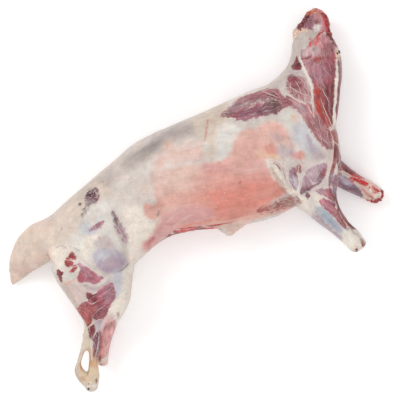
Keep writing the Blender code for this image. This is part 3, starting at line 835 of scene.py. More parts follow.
# Shoulder and withers: bare, bloody muscle over the withers, the white shoulder blade, and thin-skinned
# muscle down to the elbow, with a pleat of skin muscle tucked in behind it.
YELLOW_FAT = (0.68, 0.44, 0.32)
DARK_MEAT = (0.12, 0.06, 0.06)
ARMPIT_SLIT = ((274, 163), (278, 166), (281, 170))
ELBOW_CREASE = ((308, 191), (313, 186), (321, 182))
lay_fat({
    "blade": (SILVERSKIN, 3, 1, (
        (281, 108), (290, 108), (297, 113), (303, 121), (310, 132), (318, 143), (327, 150), (334, 150),
        (334, 166), (320, 168), (305, 162), (298, 150), (292, 140), (288, 125), (280, 118),
    )),
    "blade_cool": (COOL_SKIN, 4, 1, (
        (292, 124), (303, 123), (312, 136), (320, 150), (310, 154), (298, 146), (291, 138),
    )),
    "blade_green": (GREEN_FAT, 3, 0.8, ((282, 112), (292, 112), (298, 120), (290, 126), (284, 120))),
    "blade_mauve": (MAUVE_SKIN, 2, 0.6, (
        (309, 145), (316, 147), (322, 152), (326, 158), (320, 160), (312, 157),
    )),
    "shoulder_pink": (PINK_SHEET, 3, 1, (
        (257, 129), (268, 122), (282, 125), (290, 137), (294, 148), (286, 150), (278, 145), (268, 143),
        (262, 138),
    )),
    "lavender_spot": (LILAC_SKIN, 3, 0.5, ((270, 134), (280, 132), (284, 139), (274, 142))),
    "lavender": (LILAC_SKIN, 3, 0.9, (
        (277, 146), (290, 143), (294, 152), (292, 163), (282, 162), (277, 156),
    )),
    "lavender_dark": (MAUVE_SKIN, 2, 0.6, ((288, 152), (294, 151), (293, 158), (287, 158))),
    "lavender_white": (PINK_FAT, 2, 0.8, ((283, 141), (289, 140), (291, 146), (285, 148))),
    "orange_fat": (RED_SHEET, 2.6, 0.85, (
        (264.5, 147), (267, 143.5), (272, 143), (276, 145.5), (278, 151), (276.5, 157), (271, 157),
        (266, 154),
    )),
    "yellow_fat": (YELLOW_FAT, 2, 0.9, ((264, 154), (278, 154), (280, 159), (270, 160))),
    "yellow_fat_left": (YELLOW_FAT, 3, 0.7, ((254, 150), (264, 149), (266, 155), (257, 156))),
    "orange_knob": (RED_SHEET, 1.8, 0.9, (
        (296.5, 153), (301, 151), (304.5, 154), (304, 158), (301, 160), (297, 158),
    )),
    "knob_red": (RED_SHEET, 1.3, 0.8, ((292, 157), (298, 154), (301, 158), (298, 161), (293, 162))),
    "pink_by_knob": (MAUVE_SHEET, 1.6, 0.9, ((291, 154), (296, 152), (298, 160), (294, 163), (290, 161))),
    "armpit": (SILVERSKIN, 3, 1, (
        (284, 158), (300, 160), (326, 164), (330, 176), (322, 192), (300, 204), (290, 192), (280, 172),
    )),
    "armpit_wash": (LILAC_SKIN, 4, 0.4, (
        (286, 162), (302, 160), (326, 164), (330, 176), (322, 190), (302, 200), (292, 190), (284, 174),
    )),
    "elbow": (CREAM_FAT, 3, 1, (
        (288, 190), (298, 188), (304, 197), (312, 208), (303, 209), (294, 203), (289, 196),
    )),
    "pleat": (CREAM_FAT, 1.2, 1, (
        (265, 160), (272, 160), (278, 167), (284, 179), (292, 189), (296, 196), (287, 192), (278, 183),
        (270, 173),
    )),
    "belly_fold": (PINK_SKIN, 1.5, 0.9, (
        (270, 203), (279, 197), (290, 192), (296, 194), (286, 198), (276, 204),
    )),
})
lay_muscle({
    "withers": (DEEP_RED, 2.2, 1.0, (
        (220, 115.5), (224, 111.5), (230, 106), (235, 101.5), (240, 97.5), (247, 94.5), (255, 92),
        (262, 89.5), (270, 89), (277, 88.5), (281, 93), (284, 99), (288, 106), (283, 109), (277, 113.5),
        (268, 115), (258, 118), (248, 120), (239, 120), (231, 118), (224, 117),
    )),
    "triceps_left": (VEILED_MEAT, 1.2, 1, (
        (289, 172), (291, 168.5), (294, 167), (296, 170), (297, 175), (297.5, 183), (296.5, 190),
        (293.5, 190), (290.5, 183), (288.5, 177),
    )),
    "triceps_notch": (BROWN_MEAT, 0.9, 1, (
        (297, 165), (299.5, 163.5), (301.5, 168), (300.5, 173), (298, 173), (296.5, 169),
    )),
    "triceps_mid": (VEILED_MEAT, 1.0, 1.05, (
        (299.8, 195), (300.3, 188), (302, 182), (304, 176), (307, 175), (309, 177), (311, 183), (313, 187),
        (309, 190), (304, 193),
    )),
    "triceps_right": (VEILED_MEAT, 1.3, 1.05, (
        (306, 173), (310, 168), (316, 165.5), (322, 163.5), (327, 164.5), (327, 170), (325.5, 176),
        (322, 180), (316, 183), (312, 181), (309, 177),
    )),
    "elbow_spot": (PURPLE_MEAT, 0.9, 1.1, (
        (305, 194), (307, 192.5), (309.5, 194), (309.5, 197), (307.5, 199), (305.5, 197),
    )),
})
shade_muscle({
    "withers_red": (DEEP_RED, 2, 0.9, ((238, 99), (250, 93), (262, 91), (266, 97), (250, 100), (240, 103))),
    "withers_purple": (PURPLE_MEAT, 2, 0.9, (
        (238, 112), (256, 107), (268, 105), (282, 104), (280, 112), (266, 115), (248, 118), (240, 117),
    )),
    "withers_band": (MAUVE_MEAT, 1.5, 0.8, ((236, 119), (246, 116), (260, 115), (256, 118.5), (246, 121))),
    "withers_dark": (DARK_MEAT, 2, 0.8, ((266, 100), (274, 99), (284, 104), (278, 110), (270, 107))),
    "withers_left": (GREY_BRUISE, 2, 0.5, (
        (220, 116), (228, 108), (237, 103), (241, 107), (236, 113), (228, 116),
    )),
    "withers_veil": (GREY_LINE_AND_SHADE, 2.5, 0.35, (
        (240, 103), (252, 100), (264, 98), (272, 98), (270, 103), (258, 105), (246, 108),
    )),
    "triceps_blood": (DEEP_RED, 1.2, 0.9, (
        (319, 176), (321, 171), (324, 166), (326, 169), (325, 176), (321.5, 178.5),
    )),
    "triceps_deep": (PURPLE_MEAT, 1.5, 0.6, ((300, 195), (301, 187), (306, 186), (310, 188), (304, 193))),
    "triceps_blue": (BLUE_SKIN, 2, 0.6, ((291, 178), (295, 176), (297, 184), (296, 191), (293, 188))),
    "triceps_top": (MAUVE_MEAT, 1.5, 0.7, ((289, 173), (294, 167), (297, 172), (294, 177))),
    "triceps_lilac": (LILAC_SKIN, 2, 0.5, ((309, 174), (316, 167), (320, 168), (317, 176), (312, 179))),
})
draw_stain({
    "withers_grey": (GREY_LINE_AND_SHADE, 1.4, 1.0, 1.2, 0.3, ((238, 110), (248, 105), (262, 101), (272, 97))),
    "blade_violet": (MAUVE_SKIN, 2.0, 1.2, 1.8, 0.75, ((307, 136), (310, 140), (310, 144))),
    "blade_violet_low": (MAUVE_SKIN, 1.0, 0.7, 1.4, 0.5, ((312, 146), (315, 152), (318, 157))),
    "blade_pink": (FLUSH, 2.4, 2, 1.8, 0.7, ((293, 116), (295, 121))),
    "armpit_line": (DRIED_BLOOD, 0.9, 0.5, 0.7, 1, ARMPIT_SLIT),
    # dark lines in the pleat's valleys: painted shade
    "pleat_shade_line": (MAUVE_SKIN, 0.9, 0.6, 0.8, 0.9, ((283, 168), (286, 178), (291, 188))),
    "pleat_shade_line_left": (BROWN_SHEET, 0.8, 0.6, 0.8, 0.9, ((271, 168), (278, 180), (287, 189))),
    "elbow_line": (PURPLE_MEAT, 1.3, 0.9, 0.9, 1, ((309, 190), (313, 186), (318, 184), (321.5, 181))),
    "knob_fleck": (GREY_LINE_AND_SHADE, 0.6, 0.5, 0.6, 0.7, ((282, 157), (284, 160), (283, 163))),
})
draw_sinew({
    "neck_root": (0.7, 1.0, 0.7, ((284, 93), (290, 96), (297, 100), (305, 104))),
})
fold_cover({
    "pleat_outer": (1.3, 4.4, ((267, 161), (272, 171), (281, 184), (293, 195))),
    "pleat_inner": (1.1, 3.8, ((274, 161), (279, 169), (285, 180), (292, 190))),
    "pleat_valley": (1.0, -3.0, ((271, 163), (276, 172), (284, 183), (291, 190))),
    "armpit_slit": (0.9, -2.4, ARMPIT_SLIT),
    "belly_fold": (1.5, 2.4, ((267, 205), (279, 197), (292, 192))),
    "blade_edge": (1.8, 1.5, ((281, 108), (292, 110), (303, 121), (318, 142), (331, 151))),
    "blade_ridge": (2.6, 1.6, ((292, 126), (300, 142), (310, 158))),
    "elbow_crease": (1.1, -1.8, ELBOW_CREASE),
    "shoulder_front": (2.0, -1.4, ((329, 152), (329, 168), (324, 184))),
    "withers_edge": (1.6, 1.0, ((238, 121), (256, 119), (276, 114))),
})
swell_muscle({
    "triceps_left": (1.8, 5, ((289, 170), (294, 166), (297, 180), (296, 189), (290, 182))),
    "triceps_mid": (2.2, 6, ((300, 196), (300, 186), (306, 173), (312, 184), (306, 193))),
    "triceps_right": (2.2, 6, ((306, 172), (316, 165), (326, 165), (324, 179), (311, 183))),
    "withers": (1.4, 9, ((222, 116), (240, 98), (262, 90), (280, 94), (288, 106), (262, 116), (240, 120))),
})
run_fibres({
    "withers": (21, ((218, 118), (240, 92), (282, 86), (298, 108), (262, 122), (230, 124))),
    "shoulder": (-70, ((262, 124), (292, 108), (334, 150), (332, 190), (296, 210), (284, 190), (268, 160))),
})

# Neck and chest: layered neck muscles with white bands between them, the windpipe's pale edge, and a strip of
# breast muscle between two white lines.
ORANGE_MEAT = (0.43, 0.05, 0.03)
lay_fat({
    "nape": (GREY_FAT, 3, 1, (
        (262, 92), (276, 78), (288, 60), (292, 36), (300, 30), (300, 52), (297, 68), (288, 80), (276, 90),
    )),
    "neck_top": (GREY_FAT, 2.5, 1, (
        (292, 31), (300, 28), (318, 27), (321, 34), (312, 40), (306, 47), (302, 52), (299, 59), (294, 60),
    )),
    "throat_edge": (CREAM_FAT, 1.5, 1, (
        (333, 56), (340, 58), (340, 90), (338, 120), (340, 150), (336, 152), (332, 130), (333, 95),
    )),
    "neck_side": (LILAC_SKIN, 3, 0.9, (
        (289, 71), (304, 72), (311, 82), (313, 102), (304, 106), (294, 100), (286, 92),
    )),
    "neck_side_low": (PINK_SKIN, 2, 0.9, ((286, 90), (300, 92), (312, 104), (310, 112), (296, 106))),
    "chest": (PINK_SKIN, 2, 1, ((328, 128), (341, 128), (342, 160), (336, 186), (326, 188), (328, 160))),
})
lay_muscle({
    "neck_veil": (PALE_MEAT, 2.0, 1.0, (
        (301, 50), (306, 47), (311, 40), (318, 36), (324, 34), (330, 36), (335, 44), (336.5, 55), (336, 80),
        (330, 92), (320, 90), (312, 80), (308, 73), (304, 64), (301, 57),
    )),
    "neck_cut": (MAUVE_MEAT, 1.0, 1.1, (
        (296, 28), (300, 22), (303.5, 16), (308, 11.5), (314, 8), (321, 8), (328, 11), (333, 17), (335, 26),
        (334, 35), (327, 33), (322, 31), (316, 32), (310, 30), (303, 29),
    )),
    "neck_triangle": (MAROON, 0.8, 1.1, (
        (296.5, 56), (299.5, 62), (302, 68.5), (297, 70), (291.5, 67.5), (294, 61),
    )),
    "neck_deep": (DEEP_RED, 1.5, 1.1, (
        (313, 76), (320, 72), (326, 66), (331, 61), (335.5, 61), (335.5, 80), (334, 100), (332.5, 124),
        (328.5, 124), (324, 113), (318.5, 99), (315, 90), (312, 84),
    )),
    "neck_lace": (PALE_MEAT, 3, 0.72, (
        (288, 76), (300, 75), (310, 86), (312, 100), (304, 104), (294, 100), (286, 88),
    )),
    "neck_left_red": (DEEP_RED, 1.5, 1.1, (
        (287.5, 80), (290, 75), (294, 74.5), (298, 78), (302, 86), (304, 93), (301.5, 97), (296, 94.5),
        (291, 88),
    )),
    "neck_strip": (FRESH_RED, 0.8, 1.15, (
        (312.5, 89), (317, 88.5), (320.5, 91), (321, 96), (319, 100), (322, 106), (325, 114), (329, 124),
        (329, 129), (324, 124), (319, 116), (315, 109), (313.5, 98),
    )),
    "neck_fan": (PALE_MEAT, 1.5, 1.0, (
        (282, 99), (288, 96), (296, 100), (304, 104), (310, 102), (314, 108), (319, 116), (325, 124),
        (331, 133), (333.5, 147), (327, 149), (320, 144), (312, 134), (305, 122), (299, 112), (291, 107),
        (285, 105),
    )),
    "throat_stripe": (MAROON, 0.9, 1.1, (
        (337.8, 58), (346, 60), (349, 80), (348, 97), (343, 110), (337.5, 126), (335.3, 110), (336.8, 94),
        (338.2, 78),
    )),
    "breast_triangle": (BROWN_MEAT, 0.8, 1.1, (
        (331, 131), (334, 129), (338, 134), (339.5, 142), (337, 143.5), (333.5, 139),
    )),
    "breast_strip": (BROWN_MEAT, 0.9, 1.1, (
        (334, 143.5), (338, 146), (339.3, 153), (336.5, 163), (333.5, 176), (330.5, 186), (328, 185),
        (330, 172), (333, 160), (333.8, 150),
    )),
})
shade_muscle({
    "veil_right": (DEEP_RED, 3, 0.8, ((324, 44), (335, 48), (339, 84), (326, 92), (319, 80), (323, 60))),
    "veil_left": (LILAC_SKIN, 3, 0.8, ((302, 50), (310, 46), (318, 48), (318, 55), (310, 56), (303, 56))),
    "veil_mid": (MAUVE_MEAT, 4, 0.6, ((308, 61), (318, 63), (322, 70), (314, 76), (309, 72))),
    "veil_crease": (MAROON, 0.9, 0.9, ((301, 57), (306, 57), (312, 54.5), (311, 57), (305, 59.5))),
    "veil_red": (FRESH_RED, 1.3, 0.95, ((312, 59), (318, 57), (324, 57), (321, 61), (316, 62.5))),
    "deep_low": (MAROON, 2, 0.9, ((324, 90), (334, 86), (333.5, 122), (329, 120), (325, 106))),
    "deep_high": (MAUVE_MEAT, 3, 0.7, ((312, 74), (324, 64), (328, 76), (318, 86))),
    "left_pink": (PALE_MEAT, 2, 0.8, ((297, 88), (303, 88), (307, 98), (300, 98))),
    "strip_bright": (ORANGE_MEAT, 1, 0.95, (
        (315, 103), (319, 101), (323, 108), (327, 117), (330, 128), (325, 124), (319, 115),
    )),
    "strip_top": (ORANGE_MEAT, 1, 0.8, ((313.5, 90), (318, 90), (320, 94), (316, 96))),
    "fan_low": (DEEP_RED, 4, 0.6, ((304, 116), (322, 117), (333, 134), (335, 150), (324, 148), (312, 136))),
    "fan_pale": (MAUVE_SKIN, 2.5, 0.35, ((292, 101), (301, 104), (308, 112), (304, 116), (296, 108))),
    "fan_red": (DEEP_RED, 1.5, 0.95, ((280, 98), (287, 96), (292, 100), (291, 106), (284, 107))),
    "cut_left": (MAROON, 1.3, 1, (
        (295, 29), (299, 22), (304, 15), (308, 11.5), (309.5, 16), (306, 21), (302, 26.5),
    )),
    "cut_purple": (PURPLE_MEAT, 2, 0.5, (
        (306, 19), (311, 14), (314, 16), (314, 24), (311, 30), (307, 29), (304, 26),
    )),
    "cut_pale": (PALE_MEAT, 2.5, 0.8, (
        (314, 16), (319, 14), (324, 17), (325, 25), (321, 31), (315, 30), (313, 26),
    )),
    "cut_mottle": (MAROON, 1.2, 0.6, ((315, 20), (318, 18.5), (320, 21), (318, 24), (315.5, 23))),
    "cut_white": (WHITE_FAT, 1.5, 0.9, ((314, 25), (318, 23.5), (320.5, 28), (318, 32), (314, 31))),
    "cut_rim": (RED_LINE, 1.2, 0.8, (
        (306, 14), (312, 9), (318, 8), (327, 11), (325, 15.5), (316, 14), (309, 15),
    )),
    "cut_right": (BLOOD, 1.4, 1, (
        (322, 12), (327, 13), (331, 20), (334, 30), (332, 35), (327.5, 32), (325.5, 26), (323.5, 19),
    )),
    "breast_low": (ORANGE_MEAT, 1.5, 0.9, ((328, 176), (333, 174), (331, 188), (326, 188))),
})
draw_stain({
    "nape_lines": (GREY_LINE_AND_SHADE, 0.6, 0.5, 0.6, 0.8, ((290, 71), (296, 74), (302, 77))),
    "nape_line_low": (GREY_LINE_AND_SHADE, 0.6, 0.4, 0.6, 0.8, ((288, 76), (293, 75))),
    "neck_rim_red": (BLOOD, 1.2, 0.8, 0.8, 1, ((317, 37), (319, 34), (323, 32))),
    "neck_marks": (BLOOD, 0.9, 0.6, 0.8, 0.9, ((310, 46), (311, 41), (310, 39))),
    "neck_marks_right": (BLOOD, 0.9, 0.6, 0.8, 0.9, ((315, 44), (318, 41), (319, 39))),
    "neck_edge_blood": (MAROON, 1.6, 1.4, 0.8, 1, ((327, 33), (332, 38), (336, 46))),
    "neck_edge_flush": (FLUSH, 1.2, 1.4, 1.0, 0.8, ((336, 50), (338, 56), (340, 60))),
    "stump_fat": (FLUSH, 1.8, 1.6, 1.2, 0.8, ((294, 36), (295, 32), (301, 29.5), (308, 31))),
    "throat_pink": (RED_LINE, 1.0, 0.8, 0.9, 0.7, ((336, 90), (335.5, 96))),
})
draw_sinew({
    "neck_band": (0.6, 1.6, 0.85, ((299, 56), (303, 65), (306, 73), (309.5, 80))),
    "neck_band_low": (1.6, 0.4, 0.8, ((309, 79), (311.5, 88), (313, 104), (314, 118))),
    "throat_band": (0.9, 0.7, 0.75, ((336.3, 60), (336.8, 76), (335.8, 92), (334.4, 108), (333, 126))),
})
fold_cover({
    "veil_crease": (1.0, -2.0, ((301, 57), (308, 57), (313, 55))),
    "veil_crease_right": (1.2, -1.6, ((312, 62), (322, 59), (331, 56))),
    "nape_crease": (0.9, -1.2, ((289, 72), (297, 75), (304, 79))),
    "nape_fold": (1.2, 1.0, ((289, 69), (297, 72), (306, 76))),
    "throat": (1.5, 1.4, ((338, 60), (337, 90), (335, 125))),
    "throat_groove": (1.3, -2.0, ((334, 62), (334, 90), (332, 118))),
    "breast_groove": (0.9, -1.2, ((334, 146), (334, 162), (329, 182))),
    "stump_ring": (1.4, 1.6, ((296, 30), (306, 29), (316, 31), (324, 33), (331, 36))),
    "stump_side": (4.0, -4.0, ((331, 13), (334, 21), (335, 29))),
    "stump_hollow": (4.0, -2.0, ((312, 20), (320, 22))),
})
swell_muscle({
    "neck_deep": (1.6, 8, ((312, 74), (334, 60), (334, 100), (332, 122), (320, 98))),
    "neck_strip": (1.2, 4, ((312, 88), (320, 89), (321, 102), (329, 123), (318, 114))),
    "neck_fan": (1.4, 7, ((290, 98), (304, 96), (330, 134), (332, 147), (317, 140), (302, 118))),
})
run_fibres({
    "neck": (-84, ((298, 5), (345, 5), (344, 128), (328, 124), (312, 100), (300, 60))),
    "neck_low": (-57, ((284, 92), (308, 92), (336, 128), (336, 150), (318, 146), (292, 110))),
    "breast": (-78, ((328, 124), (346, 124), (344, 160), (334, 190), (324, 188))),
})

# Forelegs: both end at the knee. The upper one is white and blue with sinew over red muscle, and the lower
# one is bruised dark and bloody at its cut end.
BLUE_CORD = (0.38, 0.44, 0.49)
DUSK_BLUE = (0.28, 0.33, 0.40)
DARK_PURPLE = (0.24, 0.17, 0.23)
lay_fat({
    "arm": (SILVERSKIN, 2, 1, (
        (306, 196), (322, 190), (334, 200), (350, 224), (366, 244), (366, 254), (350, 254), (330, 234),
        (312, 212),
    )),
    "arm_white": (SILVERSKIN, 2, 0.9, ((311, 193), (320, 193), (326, 204), (318, 208))),
    "arm_blue": (BLUE_CORD, 2.4, 1, (
        (316, 210), (320, 205.5), (326, 208.5), (331, 213.5), (337, 219.5), (342, 227), (343, 233),
        (338, 233.5), (333.5, 229.5), (327.5, 223.5), (320.5, 217.5),
    )),
    "arm_violet": (MAUVE_SKIN, 2, 0.55, ((331, 219), (337, 222), (342, 231), (337, 232), (332, 226))),
    "arm_cream": (CREAM_FAT, 2.5, 0.9, ((313, 194), (321, 194), (325, 202), (322, 206), (315, 203))),
    # the darker band along the foreleg's lower-left edge: painted shade, in the skin's mauve
    "arm_low_shade": (MAUVE_SKIN, 1.6, 0.75, (
        (312, 212), (318, 217), (326, 224), (335, 232), (346, 241), (340, 245), (326, 234), (313, 221),
    )),
    "knee": (CARTILAGE, 3, 1, ((344, 232), (354, 228), (367, 243), (366, 254), (352, 256), (342, 244))),
    "knee_pink": (PINK_FAT, 2, 0.7, ((352, 247), (358, 244), (366, 239), (369, 254), (360, 260), (352, 258))),
    "far_arm": (ROSE_SKIN, 2, 1, (
        (334, 156), (346, 160), (372, 180), (388, 196), (380, 206), (366, 202), (334, 186),
    )),
    "far_white": (GREEN_FAT, 1.6, 0.8, (
        (339, 173), (345, 175), (352, 179), (360, 185), (364, 190), (358, 188), (350, 182), (343, 178),
    )),
    "far_end": (PINK_FAT, 2.5, 0.95, ((358, 184), (372, 182), (385, 194), (380, 203), (366, 201))),
})
lay_muscle({
    "arm_top": (ROSE_MEAT, 1.1, 1.05, (
        (316, 191), (320, 188), (325, 189), (329, 187.5), (332, 190), (335, 197), (337, 203), (332, 201),
        (326, 197), (320, 194.5),
    )),
    "arm_red": (ROSE_MEAT, 1.3, 1.05, (
        (320.5, 200), (327, 199), (333, 202.5), (337, 208), (340, 213), (344, 221), (349, 229), (345.5, 229),
        (340, 224), (334.5, 218), (329, 213), (324, 208.5), (320.5, 204),
    )),
    "arm_edge": (MAROON, 0.9, 1.15, (
        (332.5, 186), (338, 188), (344, 202), (349, 212), (354, 221), (358, 229), (349, 226), (343, 218.5),
        (339, 211), (336, 203),
    )),
    "far_top": (MAROON, 0.9, 1.15, (
        (337, 152), (344, 155), (352, 162), (360, 170), (367, 177), (363, 179), (356, 177), (350, 174.5),
        (344, 171), (338, 169.5),
    )),
    "far_purple": (DARK_PURPLE, 1.1, 1.1, (
        (330, 181), (333, 175.5), (339, 174.5), (345, 176.5), (351, 180.5), (357, 185.5), (362, 193),
        (361, 198), (350, 197), (338, 192),
    )),
    "far_blood": (BLOOD, 0.9, 1.15, (
        (349, 176), (353, 176.5), (358, 178.5), (364, 180.5), (368.5, 183), (369, 185), (364, 185.5),
        (359, 183.5), (355, 181), (351, 178.5),
    )),
    "far_streaks": (BLOOD, 1.5, 0.7, (
        (368, 186), (373, 187), (379, 191), (382, 196), (379, 197), (374, 193), (370, 190),
    )),
})
shade_muscle({
    "arm_mauve": (VEILED_MEAT, 1.5, 0.9, ((315, 191), (319, 187), (325, 189), (325, 194), (320, 195))),
    "far_purple_light": (MAUVE_MEAT, 1.6, 0.8, (
        (330, 180), (334, 176), (340, 175), (342, 181), (341, 189), (335, 188),
    )),
    "far_purple_blue": (BLUE_SKIN, 1.8, 0.6, ((339, 176), (346, 178), (352, 183), (350, 187), (344, 184))),
    "far_purple_dark": (PURPLE_MEAT, 1.8, 0.75, (
        (343, 185), (350, 186), (356, 188), (362, 194), (359, 198), (350, 195), (343, 191),
    )),
})
draw_stain({
    "arm_groove": (DRIED_BLOOD, 0.8, 0.5, 0.7, 0.8, ((336, 214), (342, 223), (348, 231))),
    "arm_blue_dark": (DUSK_BLUE, 1.6, 1.6, 1.6, 0.8, ((324, 215), (330, 220), (337, 228))),
    "arm_groove_out": (DRIED_BLOOD, 0.6, 0.6, 0.7, 0.7, ((341, 213), (346, 222), (352, 229), (358, 236))),
    # painted shade along the foreleg's lower-left edge
    "arm_low_shade_edge": (MAUVE_SKIN, 1.0, 0.6, 1.0, 0.7, ((316, 212), (322, 222), (330, 229), (342, 238))),
    "knee_rust": (DRIED_BLOOD, 1.2, 1.6, 0.9, 0.9, ((360, 239), (363, 243), (364.5, 247))),
    "knee_pin": (BLACK_SPOT, 1.3, 1.3, 0.6, 1, ((357, 251),)),
    "far_notch": (MAROON, 1.4, 1.0, 0.9, 0.9, ((339, 173), (341, 174))),
    "far_end_maroon": (MAROON, 2.2, 1.8, 0.8, 1, ((382, 192.5), (383, 198))),
    "far_end_red": (BLOOD, 0.9, 0.9, 0.7, 1, ((373, 187), (377, 190), (381, 194))),
    "far_rim": (BLOOD, 1.8, 2.2, 0.7, 1, ((367, 201), (372, 203), (378, 202.5), (383, 199), (384, 193))),
    "far_end_lines": (BLOOD, 0.8, 0.6, 0.6, 0.9, ((361, 189), (366, 193), (371, 196), (376, 200))),
})
fold_cover({
    "arm_groove": (1.0, -1.4, ((322, 206), (330, 214), (342, 225), (352, 233))),
    "arm_groove_out": (0.9, -1.2, ((334, 205), (343, 218), (354, 230))),
    "arm_groove_low": (0.9, -1.0, ((318, 214), (328, 226), (342, 236))),
    "knee_crease": (1.2, -0.9, ((346, 238), (352, 236), (358, 232))),
    "knee_end": (4.5, 2.2, ((356, 251), (361, 250), (364.5, 245))),
    "far_groove": (1.0, -1.4, ((338, 171), (348, 176), (360, 183))),
})
swell_muscle({
    "arm_blue": (1.4, 4, ((319, 207), (332, 217), (341, 231), (331, 228), (319, 215))),
    "arm_red": (1.4, 4, ((323, 200), (334, 205), (345, 222), (335, 217), (324, 205))),
    "far_purple": (1.4, 4, ((333, 179), (350, 182), (361, 194), (342, 189))),
})
run_fibres({
    "arm": (-50, ((304, 204), (318, 186), (336, 186), (372, 240), (366, 258), (344, 256))),
    "far_arm": (-28, ((330, 150), (346, 152), (392, 190), (386, 210), (332, 190))),
})

# The surface itself: muscle stands in low ridges along its fibres, fat lies in soft lumps, and sinews and the
# edges of what was cut stand out. Nothing moves where the carcass rests on the table.
MM = 0.001
SWELL_SIZE = 0.03
SWELL_RISE = 0.7  # mm, as the other rises are
LUMP_SIZE = 0.011
LUMP_RISE = 0.35
RIDGE_WIDTH = 0.0075
RIDGE_LENGTH = 0.07
RIDGE_RISE = 0.25
BARE_RIDGE_RISE = 0.45  # how much more ridges rise where muscle is bare
TATTER_SIZE = 0.005  # of the unevenness where the cover is half gone
TATTER_RISE = 0.5
RIDGE_SHIFT = 5.3
RESTING_LEVEL = 0.001  # below this the surface stays as it is,
FREE_ABOVE = 0.004  # and this much higher up it is free


def ridges(across, along, seed):
    """Low ridges along the fibres, between about -1 and 1."""
    stretched = grain / np.array([along, across, across]) + seed * RIDGE_SHIFT
    return np.array([noise.noise(Vector(place)) for place in stretched])


lift += SWELL_RISE * clouds(SWELL_SIZE, 4) + LUMP_RISE * clouds(LUMP_SIZE, 5)
lift += (RIDGE_RISE + BARE_RIDGE_RISE * bare) * ridges(RIDGE_WIDTH, RIDGE_LENGTH, 6)
lift += TATTER_RISE * bare * (1 - bare) * 4 * clouds(TATTER_SIZE, 7, 2)
lift *= np.clip((points[:, 2] - RESTING_LEVEL) / FREE_ABOVE, 0, 1)
write_points(flesh.data, points + normals * lift[:, None] * MM)


def keep_on(mesh, name, kind, values):
    """Keeps a value of every point in the mesh, where a material can read it."""
    attribute = mesh.attributes.new(name, kind, "POINT")
    field = {"FLOAT": "value", "FLOAT_COLOR": "color", "FLOAT_VECTOR": "vector"}[kind]
    attribute.data.foreach_set(field, np.asarray(values, np.float32).ravel())


opaque = np.ones((len(points), 1))
keep_on(flesh.data, "skin", "FLOAT_COLOR", np.hstack([skin, opaque]))
keep_on(flesh.data, "lean", "FLOAT_COLOR", np.hstack([lean, opaque]))
keep_on(flesh.data, "bare", "FLOAT", bare)
keep_on(flesh.data, "sinew", "FLOAT", sinew)
keep_on(flesh.data, "grain", "FLOAT_VECTOR", grain)


class Socket:
    """A socket of a material's nodes. Sums on it add Math nodes."""

    def __init__(self, tree, socket=None):
        self.tree = tree
        self.socket = socket

    def node(self, kind, settings, sockets, output=0):
        """Adds a node of that kind: its settings, then the values or links of its sockets."""
        made = self.tree.nodes.new(kind)
        for setting, value in settings.items():
            setattr(made, setting, value)
        for name, value in sockets.items():
            if isinstance(value, Socket):
                self.tree.links.new(value.socket, made.inputs[name])
            else:
                made.inputs[name].default_value = value
        return Socket(self.tree, made.outputs[output])

    def feed(self, shader, name):
        """Links this to a socket of the shader."""
        self.tree.links.new(self.socket, shader.inputs[name])

    def maths(self, operation, first, second=0.0, clamp=False):
        settings = {"operation": operation, "use_clamp": clamp}
        return self.node("ShaderNodeMath", settings, {0: first, 1: second})

    def __add__(self, other):
        return self.maths("ADD", self, other)

    def __sub__(self, other):
        return self.maths("SUBTRACT", self, other)

    def __rsub__(self, other):
        return self.maths("SUBTRACT", other, self)

    def __mul__(self, other):
        return self.maths("MULTIPLY", self, other)

    __radd__ = __add__
    __rmul__ = __mul__

    def limited(self):
        return self.maths("ADD", self, 0.0, clamp=True)

    def around(self, strength):
        """A noise as an amount to add: 0 at its middle, so that it makes nothing lighter or darker in all."""
        return (self - 0.5) * strength

    def step(self, middle, width):
        """From 0 to 1 where the value passes middle, over that width."""
        return ((self - (middle - width / 2)) * (1 / width)).limited()

    def ridge(self, width):
        """1 along the thin lines where a noise passes its middle, and 0 away from them."""
        off = self.maths("ABSOLUTE", self - 0.5)
        return (1 - off * (1 / width)).limited()

    def noise(self, scale, detail, roughness):
        sockets = {"Vector": self, "Scale": scale, "Detail": detail, "Roughness": roughness}
        return self.node("ShaderNodeTexNoise", {}, sockets)

    def stretched(self, sizes, cells):
        """A noise that is finer one way than another."""
        place = self.node("ShaderNodeVectorMath", {"operation": "MULTIPLY"}, {0: self, 1: sizes})
        return place.noise(*cells)

    def mixed(self, share, other):
        """This colour with a share of the other one."""
        return self.node("ShaderNodeMix", {"data_type": "RGBA"}, {0: share, 6: self, 7: other}, 2)

    def shaded(self, factor):
        """This colour, darker or lighter by a factor."""
        return self.node("ShaderNodeVectorMath", {"operation": "SCALE"}, {0: self, "Scale": factor})


SINEW_WHITE = (0.76, 0.68, 0.62, 1)
FRESH_TINGE = (0.50, 0.10, 0.08, 1)
PINK_TINGE = (0.72, 0.46, 0.41, 1)
COOL_TINGE = (0.60, 0.62, 0.63, 1)
CAPILLARY = (0.55, 0.22, 0.20, 1)
# What runs along the fibres: how many to a metre along them and in the two ways across, then the noise.
BUNDLES = (16, 170, 170), (1.0, 3.0, 0.6)
THREADS = (60, 700, 700), (1.0, 2.0, 0.6)
FILAMENTS = (22, 120, 120), (1.0, 4.0, 0.6)
WISPS = (9, 40, 40), (1.0, 5.0, 0.65)
LACE = (95, 230, 230), (1.0, 5.0, 0.72)
